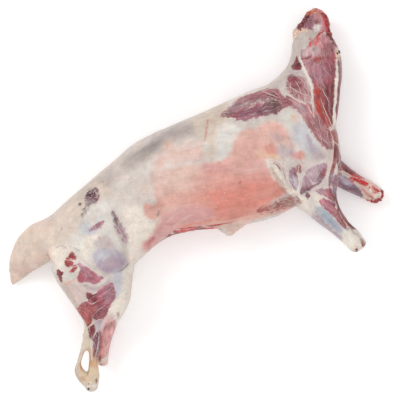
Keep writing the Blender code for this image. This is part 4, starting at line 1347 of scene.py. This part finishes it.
# What doesn't: how many spots to a metre, how many finer sets of spots there are, and how strong those are.
BROAD_SPOTS = (14.0, 3.0, 0.6)
PATCHES = (34.0, 3.0, 0.5)
BLOTCHES = (80.0, 4.0, 0.65)
SPECKS = (380.0, 2.0, 0.6)
FRESH_SPOTS = (60.0, 4.0, 0.6)
PINK_SPOTS = (52.0, 4.0, 0.6)
COOL_SPOTS = (45.0, 4.0, 0.6)
CAPILLARIES = (24.0, 5.0, 0.62)
FILAMENT_WIDTH = 0.022  # of a noise's range, as the next one is
CAPILLARY_WIDTH = 0.004
PALE_GREEN = 0.43  # how much green a cover's colour needs to count as pale
FLESH_ROUGHNESS = 0.40
FLESH_SHEEN = {
    "Coat Roughness": 0.2, "Specular IOR Level": 0.3, "Subsurface Weight": 0.06,
    "Subsurface Radius": (1.0, 0.35, 0.25), "Subsurface Scale": 0.002,
}
BUMP_STRENGTH = 0.6
BUMP_DEPTH = 0.0012


def new_finish(name):
    """A new material with its shader, and a socket to start from."""
    material = bpy.data.materials.new(name)
    material.use_nodes = True
    return material, material.node_tree.nodes["Principled BSDF"], Socket(material.node_tree)


def give_sheen(shader, sheen):
    for name, value in sheen.items():
        shader.inputs[name].default_value = value


def raw_meat():
    material, shader, start = new_finish("raw_meat")
    place = start.node("ShaderNodeTexCoord", {}, {}, "Object")
    fat = start.node("ShaderNodeAttribute", {"attribute_name": "skin"}, {}, "Color")
    muscle = start.node("ShaderNodeAttribute", {"attribute_name": "lean"}, {}, "Color")
    bare_share = start.node("ShaderNodeAttribute", {"attribute_name": "bare"}, {}, "Fac")
    sinew_share = start.node("ShaderNodeAttribute", {"attribute_name": "sinew"}, {}, "Fac")
    along = start.node("ShaderNodeAttribute", {"attribute_name": "grain"}, {}, "Vector")

    # Fibres: bundles a few millimetres across, with finer threads in them.
    bundles = along.stretched(*BUNDLES)
    threads = along.stretched(*THREADS)
    broad = place.noise(*BROAD_SPOTS)
    patches = place.noise(*PATCHES)
    blotches = place.noise(*BLOTCHES)
    specks = place.noise(*SPECKS)
    # Muscle: darker between its bundles and brighter where it is fresh, under fine white filaments.
    light = 1.0 + bundles.around(1.6) + threads.around(0.7) + patches.around(1.3) + blotches.around(0.9)
    fresh = place.noise(*FRESH_SPOTS).step(0.60, 0.2) * 0.25
    meat = muscle.shaded(light).mixed(fresh, FRESH_TINGE)
    filaments = along.stretched(*FILAMENTS).ridge(FILAMENT_WIDTH)
    meat = meat.mixed(filaments * (1.35 - bare_share) * 0.8, SINEW_WHITE)
    # Fat and silverskin: mottled warm and cool, with pale wisps along the muscle under them and fine vessels.
    cloudy = 1.0 + broad.around(0.5) + patches.around(0.4) + bundles.around(0.25) + blotches.around(0.5)
    cover = fat.shaded(cloudy + specks.around(0.3))
    wisps = along.stretched(*WISPS).step(0.60, 0.25)
    cover = cover.mixed(wisps * 0.25, SINEW_WHITE)
    pale = start.node("ShaderNodeSeparateColor", {}, {"Color": fat}, "Green").step(PALE_GREEN, 0.10)
    cover = cover.mixed(pale * place.noise(*PINK_SPOTS).step(0.60, 0.20) * 0.24, PINK_TINGE)
    cover = cover.mixed(pale * place.noise(*COOL_SPOTS).step(0.60, 0.24) * 0.18, COOL_TINGE)
    cover = cover.mixed(place.noise(*CAPILLARIES).ridge(CAPILLARY_WIDTH) * 0.35, CAPILLARY)
    # Muscle shows where the cover is gone. Where it is half gone, what is left of it is a lace of shreds.
    lace = along.stretched(*LACE)
    shows = (bare_share + (lace - 0.5) * (bare_share * 8).limited() * 2.4).step(0.5, 0.40)
    flesh_colour = cover.mixed(shows, meat)
    strings = sinew_share + (threads.around(0.9) + lace.around(0.5)) * (sinew_share * 6).limited()
    flesh_colour.mixed(strings.step(0.5, 0.5) * 0.92, SINEW_WHITE).feed(shader, "Base Color")

    # It is wet, and bare muscle is wetter than fat.
    (FLESH_ROUGHNESS + patches.around(0.3) - shows * 0.08).feed(shader, "Roughness")
    (0.03 + shows * 0.10).feed(shader, "Coat Weight")
    give_sheen(shader, FLESH_SHEEN)
    height = bundles * (shows * 0.5 + 0.2) + threads * (shows * 0.2 + 0.05) + blotches * 0.35
    height = height + shows * -0.3 + sinew_share * 0.4 + specks * 0.1
    sockets = {"Strength": BUMP_STRENGTH, "Distance": BUMP_DEPTH, "Height": height}
    start.node("ShaderNodeBump", {}, sockets).feed(shader, "Normal")
    return material


flesh.data.materials.append(raw_meat())
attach(flesh, "root")
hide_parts("carcass")

# ---------------------------------------------------------------- sinews, torn films and vessels
# Strings of white sinew, threads of the torn film that lay between hide and flesh, and a few small vessels.
# Some short white strings on the flank are painted highlights, and some dark ones are painted shade in
# creases.
# They lie sunk a little into the surface that the camera sees, and taper to nothing at both ends. One that
# crosses a limb's edge runs on to the surface behind it, and spans the gap between the two.
SINEW = (0.74, 0.66, 0.60)
FILM = (0.60, 0.49, 0.47)
PINK_STRING = (0.66, 0.40, 0.36)
VESSEL = (0.33, 0.06, 0.06)
DARK_STRING = (0.24, 0.15, 0.14)
STRING_FINISHES = {
    "sinew": (SINEW, PINK_FAT), "film": (FILM, LILAC_SKIN), "pink": (PINK_STRING, RED_LINE),
    "vessel": (VESSEL, MAROON), "dark": (DARK_STRING, GREY_LINE_AND_SHADE), "blood": (BLOOD, FRESH_RED),
}
MOTTLE = (90.0, 3.0, 0.6)
FINE_SPECKS = (420.0, 3.0, 0.55)
WET_SHEEN = {
    "Specular IOR Level": 0.35, "Subsurface Weight": 0.1, "Subsurface Radius": (1.0, 0.4, 0.3),
    "Subsurface Scale": 0.001,
}
STRING_STEP = 1.3  # pixels between a string's points
STRING_WOBBLE = 0.12  # pixels that it strays at each step
THREAD_WOBBLE = 0.16
STRING_SINK = 0.3  # of its radius
STRING_ENDS = 0.3  # of a step that the taper goes on past each end
STRING_TAPER = 0.6  # the lower, the later it gets thin
THINNEST = 0.85  # of its radius, before the taper
VARIES = 0.3  # how much thicker it is at most
STRING_SIDES = 1  # cuts to each quarter of its round
DRAWN_TOGETHER = 1e-6  # points closer than this are one
MOST_TRIES = 8  # for each thread of a web
THREAD_LENGTHS = (0.5, 1.3)  # shortest and longest, as shares of the length asked for
THREAD_RADII = (0.6, 1.2)
THREAD_BOW = 0.12
chance = np.random.default_rng(41)


def sight_line(pixel):
    """From the camera to the pixel's place at the subject's height."""
    aim = Vector((pixel[0] - PICTURE / 2, PICTURE / 2 - pixel[1], 0)) * PIXEL
    aim += Vector((EYE.x, EYE.y, SUBJECT_HEIGHT))
    return aim - EYE


def on_flesh(pixel):
    """Where the flesh is that the camera sees at a pixel, and which way it faces."""
    found, place, facing, _ = flesh.ray_cast(EYE, sight_line(pixel))
    return (place, facing) if found else None


def curved(path, step, wobble):
    """Points along a smooth line through the path, a step apart, that wobble a little to the side."""
    path = np.array(path, float)
    whole = np.vstack([2 * path[0] - path[1], path, 2 * path[-1] - path[-2]])
    line = []
    for before, start, end, after in zip(whole, whole[1:], whole[2:], whole[3:]):
        count = max(2, round(np.linalg.norm(end - start) / step))
        line += [on_curve(before, start, end, after, share) for share in np.arange(count) / count]
    line = np.array([*line, path[-1]])
    drift = np.cumsum(chance.normal(0, wobble, line.shape), axis=0)
    return line + drift - np.linspace(0, 1, len(line))[:, None] * drift[-1]


def within(pixel, corners):
    count = 0
    for start, end in zip(corners, np.roll(corners, -1, axis=0)):
        if (start[1] > pixel[1]) != (end[1] > pixel[1]):
            share = (pixel[1] - start[1]) / (end[1] - start[1])
            count += pixel[0] < start[0] + (end[0] - start[0]) * share
    return count % 2 == 1


def wet_finish(name, colour, other):
    """Wet and mottled, between two colours."""
    material, shader, start = new_finish(name)
    place = start.node("ShaderNodeTexCoord", {}, {}, "Object")
    tone = start.node("ShaderNodeRGB", {}, {})
    tone.socket.default_value = (*colour, 1)
    mottle = place.noise(*MOTTLE)
    tone = tone.mixed(mottle.step(0.55, 0.25) * 0.7, (*other, 1))
    tone = tone.shaded(0.6 + place.noise(*FINE_SPECKS) * 0.8)
    tone.feed(shader, "Base Color")
    (0.3 + mottle * 0.3).feed(shader, "Roughness")
    give_sheen(shader, WET_SHEEN)
    return material


string_materials = [wet_finish(f"string_{name}", *tones) for name, tones in STRING_FINISHES.items()]


def new_strings(name, sides, materials=()):
    """An empty bunch of round strings, whose points have their radius in millimetres."""
    curve = bpy.data.curves.new(name, "CURVE")
    curve.dimensions = "3D"
    curve.bevel_depth = MM
    curve.bevel_resolution = sides
    curve.use_fill_caps = True
    for material in materials:
        curve.materials.append(material)
    return curve


def meshed(curve):
    """The bunch as a closed mesh, in edit mode with all of it selected."""
    piece = bpy.data.objects.new(curve.name, curve)
    bpy.context.scene.collection.objects.link(piece)
    select_only(piece)
    bpy.ops.object.convert(target="MESH")
    bpy.ops.object.mode_set(mode="EDIT")
    bpy.ops.mesh.select_all(action="SELECT")
    bpy.ops.mesh.remove_doubles(threshold=DRAWN_TOGETHER)
    return bpy.context.object


def lay_string(curve, finish, radius, path, wobble):
    places = [on_flesh(pixel) for pixel in curved(path, STRING_STEP, wobble)]
    places = [found for found in places if found]
    if len(places) < 3:
        return
    string = curve.splines.new("POLY")
    string.points.add(len(places) - 1)
    string.material_index = list(STRING_FINISHES).index(finish)
    for number, ((place, facing), point) in enumerate(zip(places, string.points)):
        gone = (number + STRING_ENDS) / (len(places) - 1 + 2 * STRING_ENDS)
        taper = math.sin(math.pi * gone) ** STRING_TAPER
        point.radius = radius * taper * (THINNEST + VARIES * chance.random())
        point.co = (*(place - facing * MM * radius * STRING_SINK), 1)


def finish_strings(curve):
    piece = meshed(curve)
    bpy.ops.mesh.normals_make_consistent(inside=False)
    bpy.ops.object.mode_set(mode="OBJECT")
    piece.data.shade_smooth()
    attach(piece, "root")


def lay_strings(name, strings):
    """Named strings: a finish, a radius in millimetres, and a path in pixels."""
    curve = new_strings(name, STRING_SIDES, string_materials)
    for finish, radius, path in strings.values():
        lay_string(curve, finish, radius, path, STRING_WOBBLE)
    finish_strings(curve)


def scatter_threads(name, webs):
    """Many short threads within an outline, all running about one way."""
    curve = new_strings(name, STRING_SIDES, string_materials)
    for finish, count, degrees, spread, length, radius, outline in webs.values():
        corners = np.array(outline, float)
        laid = 0
        for _ in range(count * MOST_TRIES):
            middle = chance.uniform(corners.min(axis=0), corners.max(axis=0))
            turn = math.radians(degrees + chance.normal(0, spread))
            half = 0.5 * length * chance.uniform(*THREAD_LENGTHS)
            reach = half * np.array([math.cos(turn), -math.sin(turn)])
            bow = chance.normal(0, THREAD_BOW) * np.array([reach[1], -reach[0]])
            if not within(middle, corners) or laid == count:
                continue
            laid += 1
            path = (middle - reach, middle + bow, middle + reach)
            lay_string(curve, finish, radius * chance.uniform(*THREAD_RADII), path, THREAD_WOBBLE)
    finish_strings(curve)


lay_strings("sinew_strings", {
    "cut_high": ("sinew", 0.9, ((65, 259), (72, 261), (79, 263))),
    "cut_low": ("sinew", 0.8, ((67, 268), (73, 267), (79, 265))),
    "cut_rim": ("sinew", 0.7, ((64, 262), (66, 256), (71, 251), (76, 254), (79, 260))),
    "ham_glint": ("sinew", 0.9, ((86, 299), (91, 304), (96, 302), (99, 300))),
    "ham_glint_low": ("pink", 0.6, ((79, 308), (84, 311), (88, 317))),
    "ham_seam": ("film", 0.4, ((91, 319), (97, 311), (107, 304))),
    "ham_seam_mid": ("film", 0.35, ((93, 312), (102, 307), (111, 300))),
    "ham_seam_top": ("film", 0.35, ((98, 297), (105, 293), (112, 288))),
    "wedge_seam": ("film", 0.5, ((83, 283), (86, 276), (84, 268))),
    "wedge_top": ("sinew", 0.7, ((76, 261), (86, 266), (96, 272), (107, 277))),
    "streak_top": ("sinew", 0.6, ((114, 206), (119, 214), (125, 226))),
    "streak_out": ("sinew", 0.5, ((118, 208), (124, 218), (128, 230))),
    "hip_line": ("film", 0.5, ((104, 221), (98, 228), (90, 233))),
    "calf_top": ("sinew", 1.1, ((86, 328), (91, 325), (98, 320), (104, 319))),
    "calf_side": ("sinew", 0.9, ((97, 322), (96, 331), (91, 340))),
    "shank_front": ("sinew", 0.9, ((99, 333), (98, 344), (95, 358))),
    "shank_mid": ("sinew", 0.7, ((93, 341), (92, 350), (92, 362))),
    "shank_back": ("film", 0.8, ((89, 339), (90, 350), (90, 364))),
    "heel_string": ("sinew", 0.8, ((86, 334), (83, 348), (79, 364))),
    "withers_slash": ("sinew", 0.9, ((262, 91), (270, 94), (279, 98))),
    "withers_slash_low": ("film", 0.7, ((270, 90), (277, 94), (281, 99))),
    "neck_root": ("sinew", 0.8, ((279, 90), (288, 94), (297, 100), (306, 104))),
    "neck_root_low": ("film", 0.8, ((284, 97), (293, 101), (302, 107))),
    "triceps_left": ("sinew", 0.6, ((287, 168), (288, 178), (292, 188), (296, 194))),
    "triceps_seam": ("sinew", 0.8, ((298, 165), (299, 178), (298, 197))),
    "triceps_mid": ("film", 0.7, ((306, 172), (302, 182), (300, 194))),
    "triceps_cross": ("film", 0.6, ((306, 173), (310, 179), (314, 186))),
    "triceps_right": ("film", 0.6, ((322, 167), (318, 176), (312, 183))),
    "triceps_top": ("sinew", 0.7, ((303, 172), (312, 165), (325, 162))),
    "triceps_out": ("sinew", 0.8, ((328, 159), (328, 172), (324, 183), (314, 193))),
    "pleat_edge": ("pink", 0.8, ((267, 160), (274, 161), (280, 165), (283, 172))),
    "pleat_long": ("film", 0.9, ((270, 166), (277, 177), (287, 189))),
    "neck_cross": ("sinew", 0.8, ((288, 70), (297, 74), (307, 77))),
    "neck_cross_low": ("sinew", 0.7, ((290, 73), (298, 77), (306, 83))),
    "neck_long": ("sinew", 1.0, ((320, 96), (323, 104), (328, 117), (332, 126), (336, 133))),
    "neck_side": ("sinew", 0.8, ((312, 86), (312, 100), (314, 116))),
    "neck_deep_line": ("sinew", 0.7, ((322, 87), (325, 95), (331, 106))),
    "fan_line": ("sinew", 0.7, ((303, 97), (308, 106), (315, 120))),
    "fan_line_left": ("film", 0.6, ((297, 104), (303, 113), (308, 124))),
    "fan_line_right": ("film", 0.6, ((306, 92), (312, 100), (316, 112))),
    "veil_line": ("film", 0.7, ((306, 87), (311, 91), (317, 97))),
    "breast_left": ("sinew", 1.1, ((329, 128), (333, 141), (333, 152), (331, 166), (327, 182))),
    "breast_cross": ("sinew", 0.9, ((333, 140), (336, 143), (340, 146))),
    "breast_right": ("sinew", 1.1, ((340, 147), (339, 160), (336, 170), (332, 183))),
    "arm_line": ("sinew", 0.9, ((313, 191), (324, 197), (335, 203))),
    "arm_line_low": ("sinew", 0.8, ((326, 209), (336, 220), (347, 233))),
    "arm_line_out": ("film", 0.8, ((338, 210), (346, 223), (356, 236))),
    "arm_line_in": ("film", 0.8, ((311, 198), (317, 210), (326, 222))),
    "far_line": ("sinew", 1.1, ((338, 168), (345, 173), (354, 179))),
    "far_line_low": ("film", 0.7, ((352, 182), (362, 190), (372, 197))),
    "knee_line": ("film", 0.6, ((346, 226), (352, 234), (358, 244))),
})
# small vessels, blood and dark lines; the dark lines in the pleat and the groin crease are painted shade
lay_strings("vessels", {
    "cut_vessel": ("pink", 0.8, ((208, 119), (206, 129), (205, 142))),
    "nape_line": ("dark", 0.6, ((289, 71), (296, 74), (303, 77))),
    "nape_line_low": ("dark", 0.6, ((287, 76), (292, 75), (296, 77))),
    "armpit_line": ("vessel", 0.9, ((273, 162), (278, 166), (281, 171))),
    "elbow_line": ("dark", 0.9, ELBOW_CREASE),
    "belly_lip": ("blood", 2.2, ((178, 229), (184, 228), (191, 227), (198, 226))),
    "belly_lip_right": ("blood", 1.5, ((203, 226), (212, 225), (222, 224), (235, 222))),
    "belly_dark": ("vessel", 1.0, ((205, 227), (212, 226), (224, 224.5))),
    "shank_dark": ("dark", 0.55, ((90, 348), (90, 360), (88, 376))),
    "shank_dark_mid": ("dark", 0.45, ((94, 348), (94.5, 356), (94, 362))),
    "shank_dark_out": ("dark", 0.45, ((97.5, 350), (97, 358), (96, 366))),
    "heel_dark": ("dark", 0.45, ((83, 346), (80.5, 354), (78, 362))),
    # the dark lines in the pleat's valleys: painted shade
    "pleat_shade": ("dark", 0.5, ((270, 165), (276, 175), (284, 185), (291, 191))),
    "pleat_shade_in": ("dark", 0.45, ((282, 166), (285, 176), (290, 187))),
    "arm_dark": ("vessel", 0.7, ((338, 213), (343, 221), (348, 228))),
    "arm_dark_out": ("dark", 0.5, ((345, 222), (350, 229), (356, 236))),
    "far_red": ("blood", 0.8, ((345, 174), (350, 176), (356, 179))),
    "strip_edge": ("blood", 0.7, ((315, 103), (319, 112), (325, 123))),
    # a dark line in the groin crease: painted shade
    "groin_shade_line": ("dark", 0.6, ((117, 272), (124, 269), (129, 263))),
    "ham_cleft": ("vessel", 0.8, ((91, 305), (97, 303), (105, 299))),
    "hair_high": ("dark", 0.4, ((56, 248), (61, 246), (67, 248))),
    "hair_mid": ("dark", 0.4, ((63, 245), (67, 249), (68, 253))),
    "hair_low": ("dark", 0.4, ((73, 247), (77, 249), (80, 252))),
    "neck_rim": ("vessel", 1.0, ((317, 37), (319, 34), (324, 32))),
    "arm_edge": ("vessel", 0.8, ((332, 190), (337, 202), (344, 216), (351, 226))),
    "far_blood": ("pink", 0.7, ((360, 186), (370, 189), (378, 193))),
    "far_blood_low": ("vessel", 0.6, ((364, 193), (372, 198), (380, 200))),
})
scatter_threads("torn_film", {
    # finish, how many, which way, spread, length, radius, outline
    "withers": ("film", 26, 24, 26, 9, 0.5, (
        (222, 116), (240, 98), (262, 90), (280, 94), (286, 106), (262, 114), (240, 119),
    )),
    "withers_grey": ("sinew", 40, 30, 50, 4, 0.5, (
        (236, 112), (248, 102), (276, 97), (276, 103), (250, 108),
    )),
    "neck_fan": ("film", 22, -56, 24, 12, 0.6, (
        (290, 98), (304, 96), (318, 112), (330, 134), (331, 146), (317, 139), (302, 118),
    )),
    "neck_side": ("sinew", 26, -50, 26, 10, 0.7, ((286, 82), (300, 74), (312, 92), (312, 104), (296, 102))),
    "neck_veil": ("film", 8, -70, 24, 11, 0.4, (
        (303, 54), (320, 38), (334, 46), (335, 84), (320, 88), (310, 74),
    )),
    "neck_deep": ("film", 9, -66, 14, 13, 0.4, ((313, 76), (334, 64), (334, 118), (326, 108))),
    "triceps": ("film", 30, -55, 34, 8, 0.45, (
        (288, 168), (300, 162), (326, 164), (324, 180), (302, 196), (292, 188),
    )),
    "armpit": ("sinew", 18, -54, 12, 12, 0.7, ((266, 162), (276, 162), (290, 178), (296, 194), (284, 190))),
    "shoulder": ("film", 20, -60, 30, 9, 0.6, (
        (278, 144), (290, 142), (304, 150), (322, 152), (318, 162), (290, 164),
    )),
    "belly_lace": ("film", 40, 18, 24, 7, 0.7, (
        (264, 209), (276, 199), (294, 194), (302, 203), (286, 209), (266, 215),
    )),
    "belly_dark": ("vessel", 14, 18, 24, 5, 0.6, (
        (268, 208), (280, 199), (294, 197), (300, 203), (284, 208),
    )),
    "flank_low": ("pink", 12, 26, 12, 10, 0.4, ((160, 222), (182, 206), (206, 206), (200, 220), (172, 226))),
    # white specks on the lower flank: painted highlights, glints of the wet surface made as short white
    # strings
    "flank_glints": ("sinew", 18, 10, 60, 1.6, 0.7, ((176, 190), (222, 178), (230, 206), (174, 218))),
    "hip": ("film", 12, -62, 10, 10, 0.5, ((110, 210), (118, 208), (130, 236), (126, 246), (118, 232))),
    "bruise": ("film", 20, 40, 60, 6, 0.6, ((85, 198), (90, 190), (98, 189), (99, 198), (92, 205))),
    "ham": ("film", 14, 30, 18, 7, 0.35, (
        (80, 306), (100, 288), (114, 284), (114, 300), (102, 318), (88, 316),
    )),
    "ham_side": ("sinew", 18, 10, 60, 6, 0.6, ((64, 278), (78, 276), (92, 286), (84, 302), (74, 294))),
    "buttock": ("dark", 8, 20, 50, 5, 0.35, ((54, 250), (66, 245), (80, 250), (64, 256))),
    "shank": ("film", 12, -82, 5, 12, 0.6, ((84, 330), (100, 326), (98, 366), (88, 366))),
    "arm": ("film", 30, -52, 8, 12, 0.5, ((312, 194), (332, 192), (362, 240), (352, 250), (320, 214))),
    "far_arm": ("film", 12, -30, 10, 9, 0.6, ((338, 160), (348, 166), (382, 190), (374, 198), (340, 180))),
})

# ---------------------------------------------------------------- torn meat and joint ends
# Where the neck and the feet were cut off, shreds of meat and fat stand out round the cut, and the round
# ends of the bones show, with their cap of white gristle. Each is a lump or a bunch of shreds that grows out
# of the flesh.
GRAIN = 0.0011  # size of a face on these small pieces
GRAIN_ROUNDS = 4  # of smoothing
BUMP_SIZE = 0.006
BUMP_RISE = 0.001
BUMP_SHIFT = Vector((1, 3.1, -1))  # for each letter of a piece's name, so that each has bumps of its own
LOWEST = 0.0002  # nothing lies lower than this
LUMP_CUTS = 3  # subdivisions of a ball
SHRED_SIDES = 2
SHRED_POINTS = 5
SHRED_MARGIN = 0.2  # the least share of its own stretch of rim on each side of a shred
SHRED_ROOT = 2.2  # pixels in from the rim at which a shred is rooted
SHRED_SPREAD = 0.45
SHRED_STRAYS = 0.18  # pixels
SHRED_LENGTHS = (0.35, 1.1)  # shortest and longest, as shares of the length asked for
SHRED_RADII = (0.8, 1.15)
SHRED_THICK = 1.1  # of its radius, at its root
SHRED_TAPER = 0.5  # how much less that is at its tip
SHRED_HANGS = 0.002  # how far its tip hangs down, and again as much by chance
SHRED_LOWEST = 0.003
RIM_STEP = 0.5  # pixels
RUSTY_RED = (0.47, 0.10, 0.05)
CUT_FAT = (0.74, 0.50, 0.38)
CUT_BONE = (0.52, 0.42, 0.42)
TORN_FINISHES = {
    "maroon": (MAROON, DEEP_RED), "orange": (RUSTY_RED, FLUSH), "blood": (BLOOD, MAROON),
    "fat": (CUT_FAT, CREAM_FAT), "gristle": (CARTILAGE, PINK_FAT), "bone": (CUT_BONE, SILVERSKIN),
    "black": (BLACK_SPOT, DARK_MEAT), "meat": (FRESH_RED, MAROON), "skin": (PINK_SKIN, BROWN_FAT),
}
torn_materials = {name: wet_finish(f"torn_{name}", *tones) for name, tones in TORN_FINISHES.items()}


def at_height(pixel, height):
    """The point of a pixel's sight line at that height."""
    return EYE + sight_line(pixel) * ((EYE.z - height) / (EYE.z - SUBJECT_HEIGHT))


def grow_together(piece, finish, uneven):
    """Makes one wet, uneven body of what lies in the piece."""
    finish_with(piece, "REMESH", mode="VOXEL", voxel_size=GRAIN)
    finish_with(piece, "SMOOTH", factor=0.5, iterations=GRAIN_ROUNDS)
    places = read_vectors(piece.data.vertices, "co")
    facing = read_vectors(piece.data.vertex_normals, "vector")
    bumps = lumps(places, BUMP_SIZE, BUMP_SHIFT * len(piece.name), 3)
    places += facing * bumps[:, None] * BUMP_RISE * uneven
    places[:, 2] = np.maximum(places[:, 2], LOWEST)
    write_points(piece.data, places)
    piece.data.materials.clear()
    piece.data.materials.append(torn_materials[finish])
    piece.data.shade_smooth()
    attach(piece, "root")


def grow_lump(name, finish, uneven, balls):
    """Balls run together: where each is in pixels, and its radius and how deep it sits in millimetres."""
    made = []
    for x, y, radius, depth in balls:
        place, facing = on_flesh((x, y))
        middle = place - facing * MM * depth
        bpy.ops.object.select_all(action="DESELECT")
        bpy.ops.mesh.primitive_ico_sphere_add(subdivisions=LUMP_CUTS, radius=MM * radius, location=middle)
        made.append(bpy.context.object)
    for ball in made:
        ball.select_set(True)
    bpy.context.view_layer.objects.active = made[0]
    if len(made) > 1:
        bpy.ops.object.join()
    piece = bpy.context.object
    bpy.ops.object.transform_apply(location=True, rotation=True, scale=True)
    piece.name = name
    grow_together(piece, finish, uneven)


def grow_shreds(name, finish, count, length, radius, rim):
    """Shreds of that length in pixels and radius in millimetres that stand out all along a rim."""
    line = curved(rim, RIM_STEP, 0.0)
    curve = new_strings(name, SHRED_SIDES)
    for number in range(count):
        gone = (number + SHRED_MARGIN + (1 - 2 * SHRED_MARGIN) * chance.random()) / count
        index = min(int(gone * (len(line) - 1)), len(line) - 2)
        along = line[index + 1] - line[index]
        out = np.array([along[1], -along[0]]) / np.linalg.norm(along) + chance.normal(0, SHRED_SPREAD, 2)
        root = line[index] - SHRED_ROOT * out
        found = on_flesh(root)
        if found is None:
            continue
        reach = length * chance.uniform(*SHRED_LENGTHS)
        height = found[0].z
        string = curve.splines.new("POLY")
        string.points.add(SHRED_POINTS - 1)
        for share, point in zip(np.linspace(0, 1, SHRED_POINTS), string.points):
            pixel = root + (SHRED_ROOT + reach) * out * share + chance.normal(0, SHRED_STRAYS, 2)
            drop = SHRED_HANGS * (share + chance.random())
            point.co = (*at_height(pixel, max(height - drop, SHRED_LOWEST)), 1)
            point.radius = radius * (SHRED_THICK - SHRED_TAPER * share) * chance.uniform(*SHRED_RADII)
    piece = meshed(curve)
    bpy.ops.object.mode_set(mode="OBJECT")
    grow_together(piece, finish, 1.0)


grow_shreds("neck_shreds_left", "maroon", 10, 1.7, 2.6, ((298, 29), (301, 24), (304, 19), (306, 15)))
grow_shreds("neck_shreds_top", "orange", 10, 1.9, 2.6, ((305, 16), (309, 12), (314, 11), (320, 13)))
grow_shreds("neck_shreds_tip", "bone", 3, 2.2, 2.4, ((313, 12), (316, 11), (319, 12)))
grow_shreds("neck_shreds_black", "black", 2, 1.2, 2.2, ((322, 13), (324.5, 14), (326, 17)))
grow_shreds("neck_shreds_right", "meat", 12, 1.3, 2.6, (
    (325.5, 14), (327.5, 19), (328.5, 25), (330, 31), (331.5, 36),
))
grow_shreds("neck_shreds_low", "maroon", 5, 0.8, 2.4, ((329, 33), (332, 38), (335, 44)))
grow_shreds("neck_fat", "fat", 9, 2.0, 2.6, ((296, 39), (294, 34), (296, 31), (302, 29), (308, 30)))
grow_lump("neck_bone", "bone", 1.6, ((317, 26, 5, 4.0), (315.5, 29.5, 4.5, 3.5)))
grow_lump("neck_knob", "black", 0.6, ((339, 52, 3.8, 0.2), (337.5, 53.5, 3.2, 0.6)))
grow_lump("ham_lumps", "meat", 2.2, (
    (70, 256, 6, 4.4), (73.5, 257, 5, 3.6), (69, 263, 6, 4.4), (72.5, 270, 4.5, 3.2),
))
grow_shreds("ham_shreds", "skin", 9, 1.6, 1.2, ((80, 312), (75, 304), (70, 296), (64, 288)))
grow_shreds("elbow_shreds", "skin", 10, 1.6, 1.1, ((330, 230), (324, 225), (318, 218), (313, 211)))
grow_shreds("far_knee_rim", "meat", 12, 0.4, 2.6, (
    (383, 191), (383.5, 197), (379, 201.5), (373, 202), (367, 200),
))
grow_lump("far_knee_joint", "gristle", 0.8, ((376, 196, 7, 3.5), (380, 194, 6, 3), (370, 191, 7, 4)))
grow_lump("knee_joint", "gristle", 0.8, ((353.5, 248, 6.5, 4.2), (359.5, 245, 7, 4.5)))
grow_lump("knee_pins", "black", 0.4, ((356.5, 249.5, 2.8, 0.4), (357, 249, 2.0, 0.6)))
grow_lump("knee_scab", "maroon", 0.6, ((362, 243.5, 2.4, 1.2), (362.6, 245.6, 2.6, 1.2)))
grow_lump("hock_joint", "gristle", 0.8, ((88.5, 386, 6, 3.5), (94.5, 386.5, 6.5, 3.8)))
grow_lump("hock_pins", "black", 0.4, ((88.5, 384, 1.9, 0.2), (88.5, 388.5, 2.6, 0.8)))
grow_lump("hock_scab", "maroon", 0.4, ((96.3, 380, 1.8, 0.6), (96.5, 382, 1.9, 0.6)))
grow_lump("heel_bone", "skin", 0.8, ((76.5, 368, 6, 3.5), (78, 373, 5, 3.5)))
grow_lump("far_hock_joint", "gristle", 0.8, ((103, 361, 6, 3), (106, 358, 6, 3.5)))
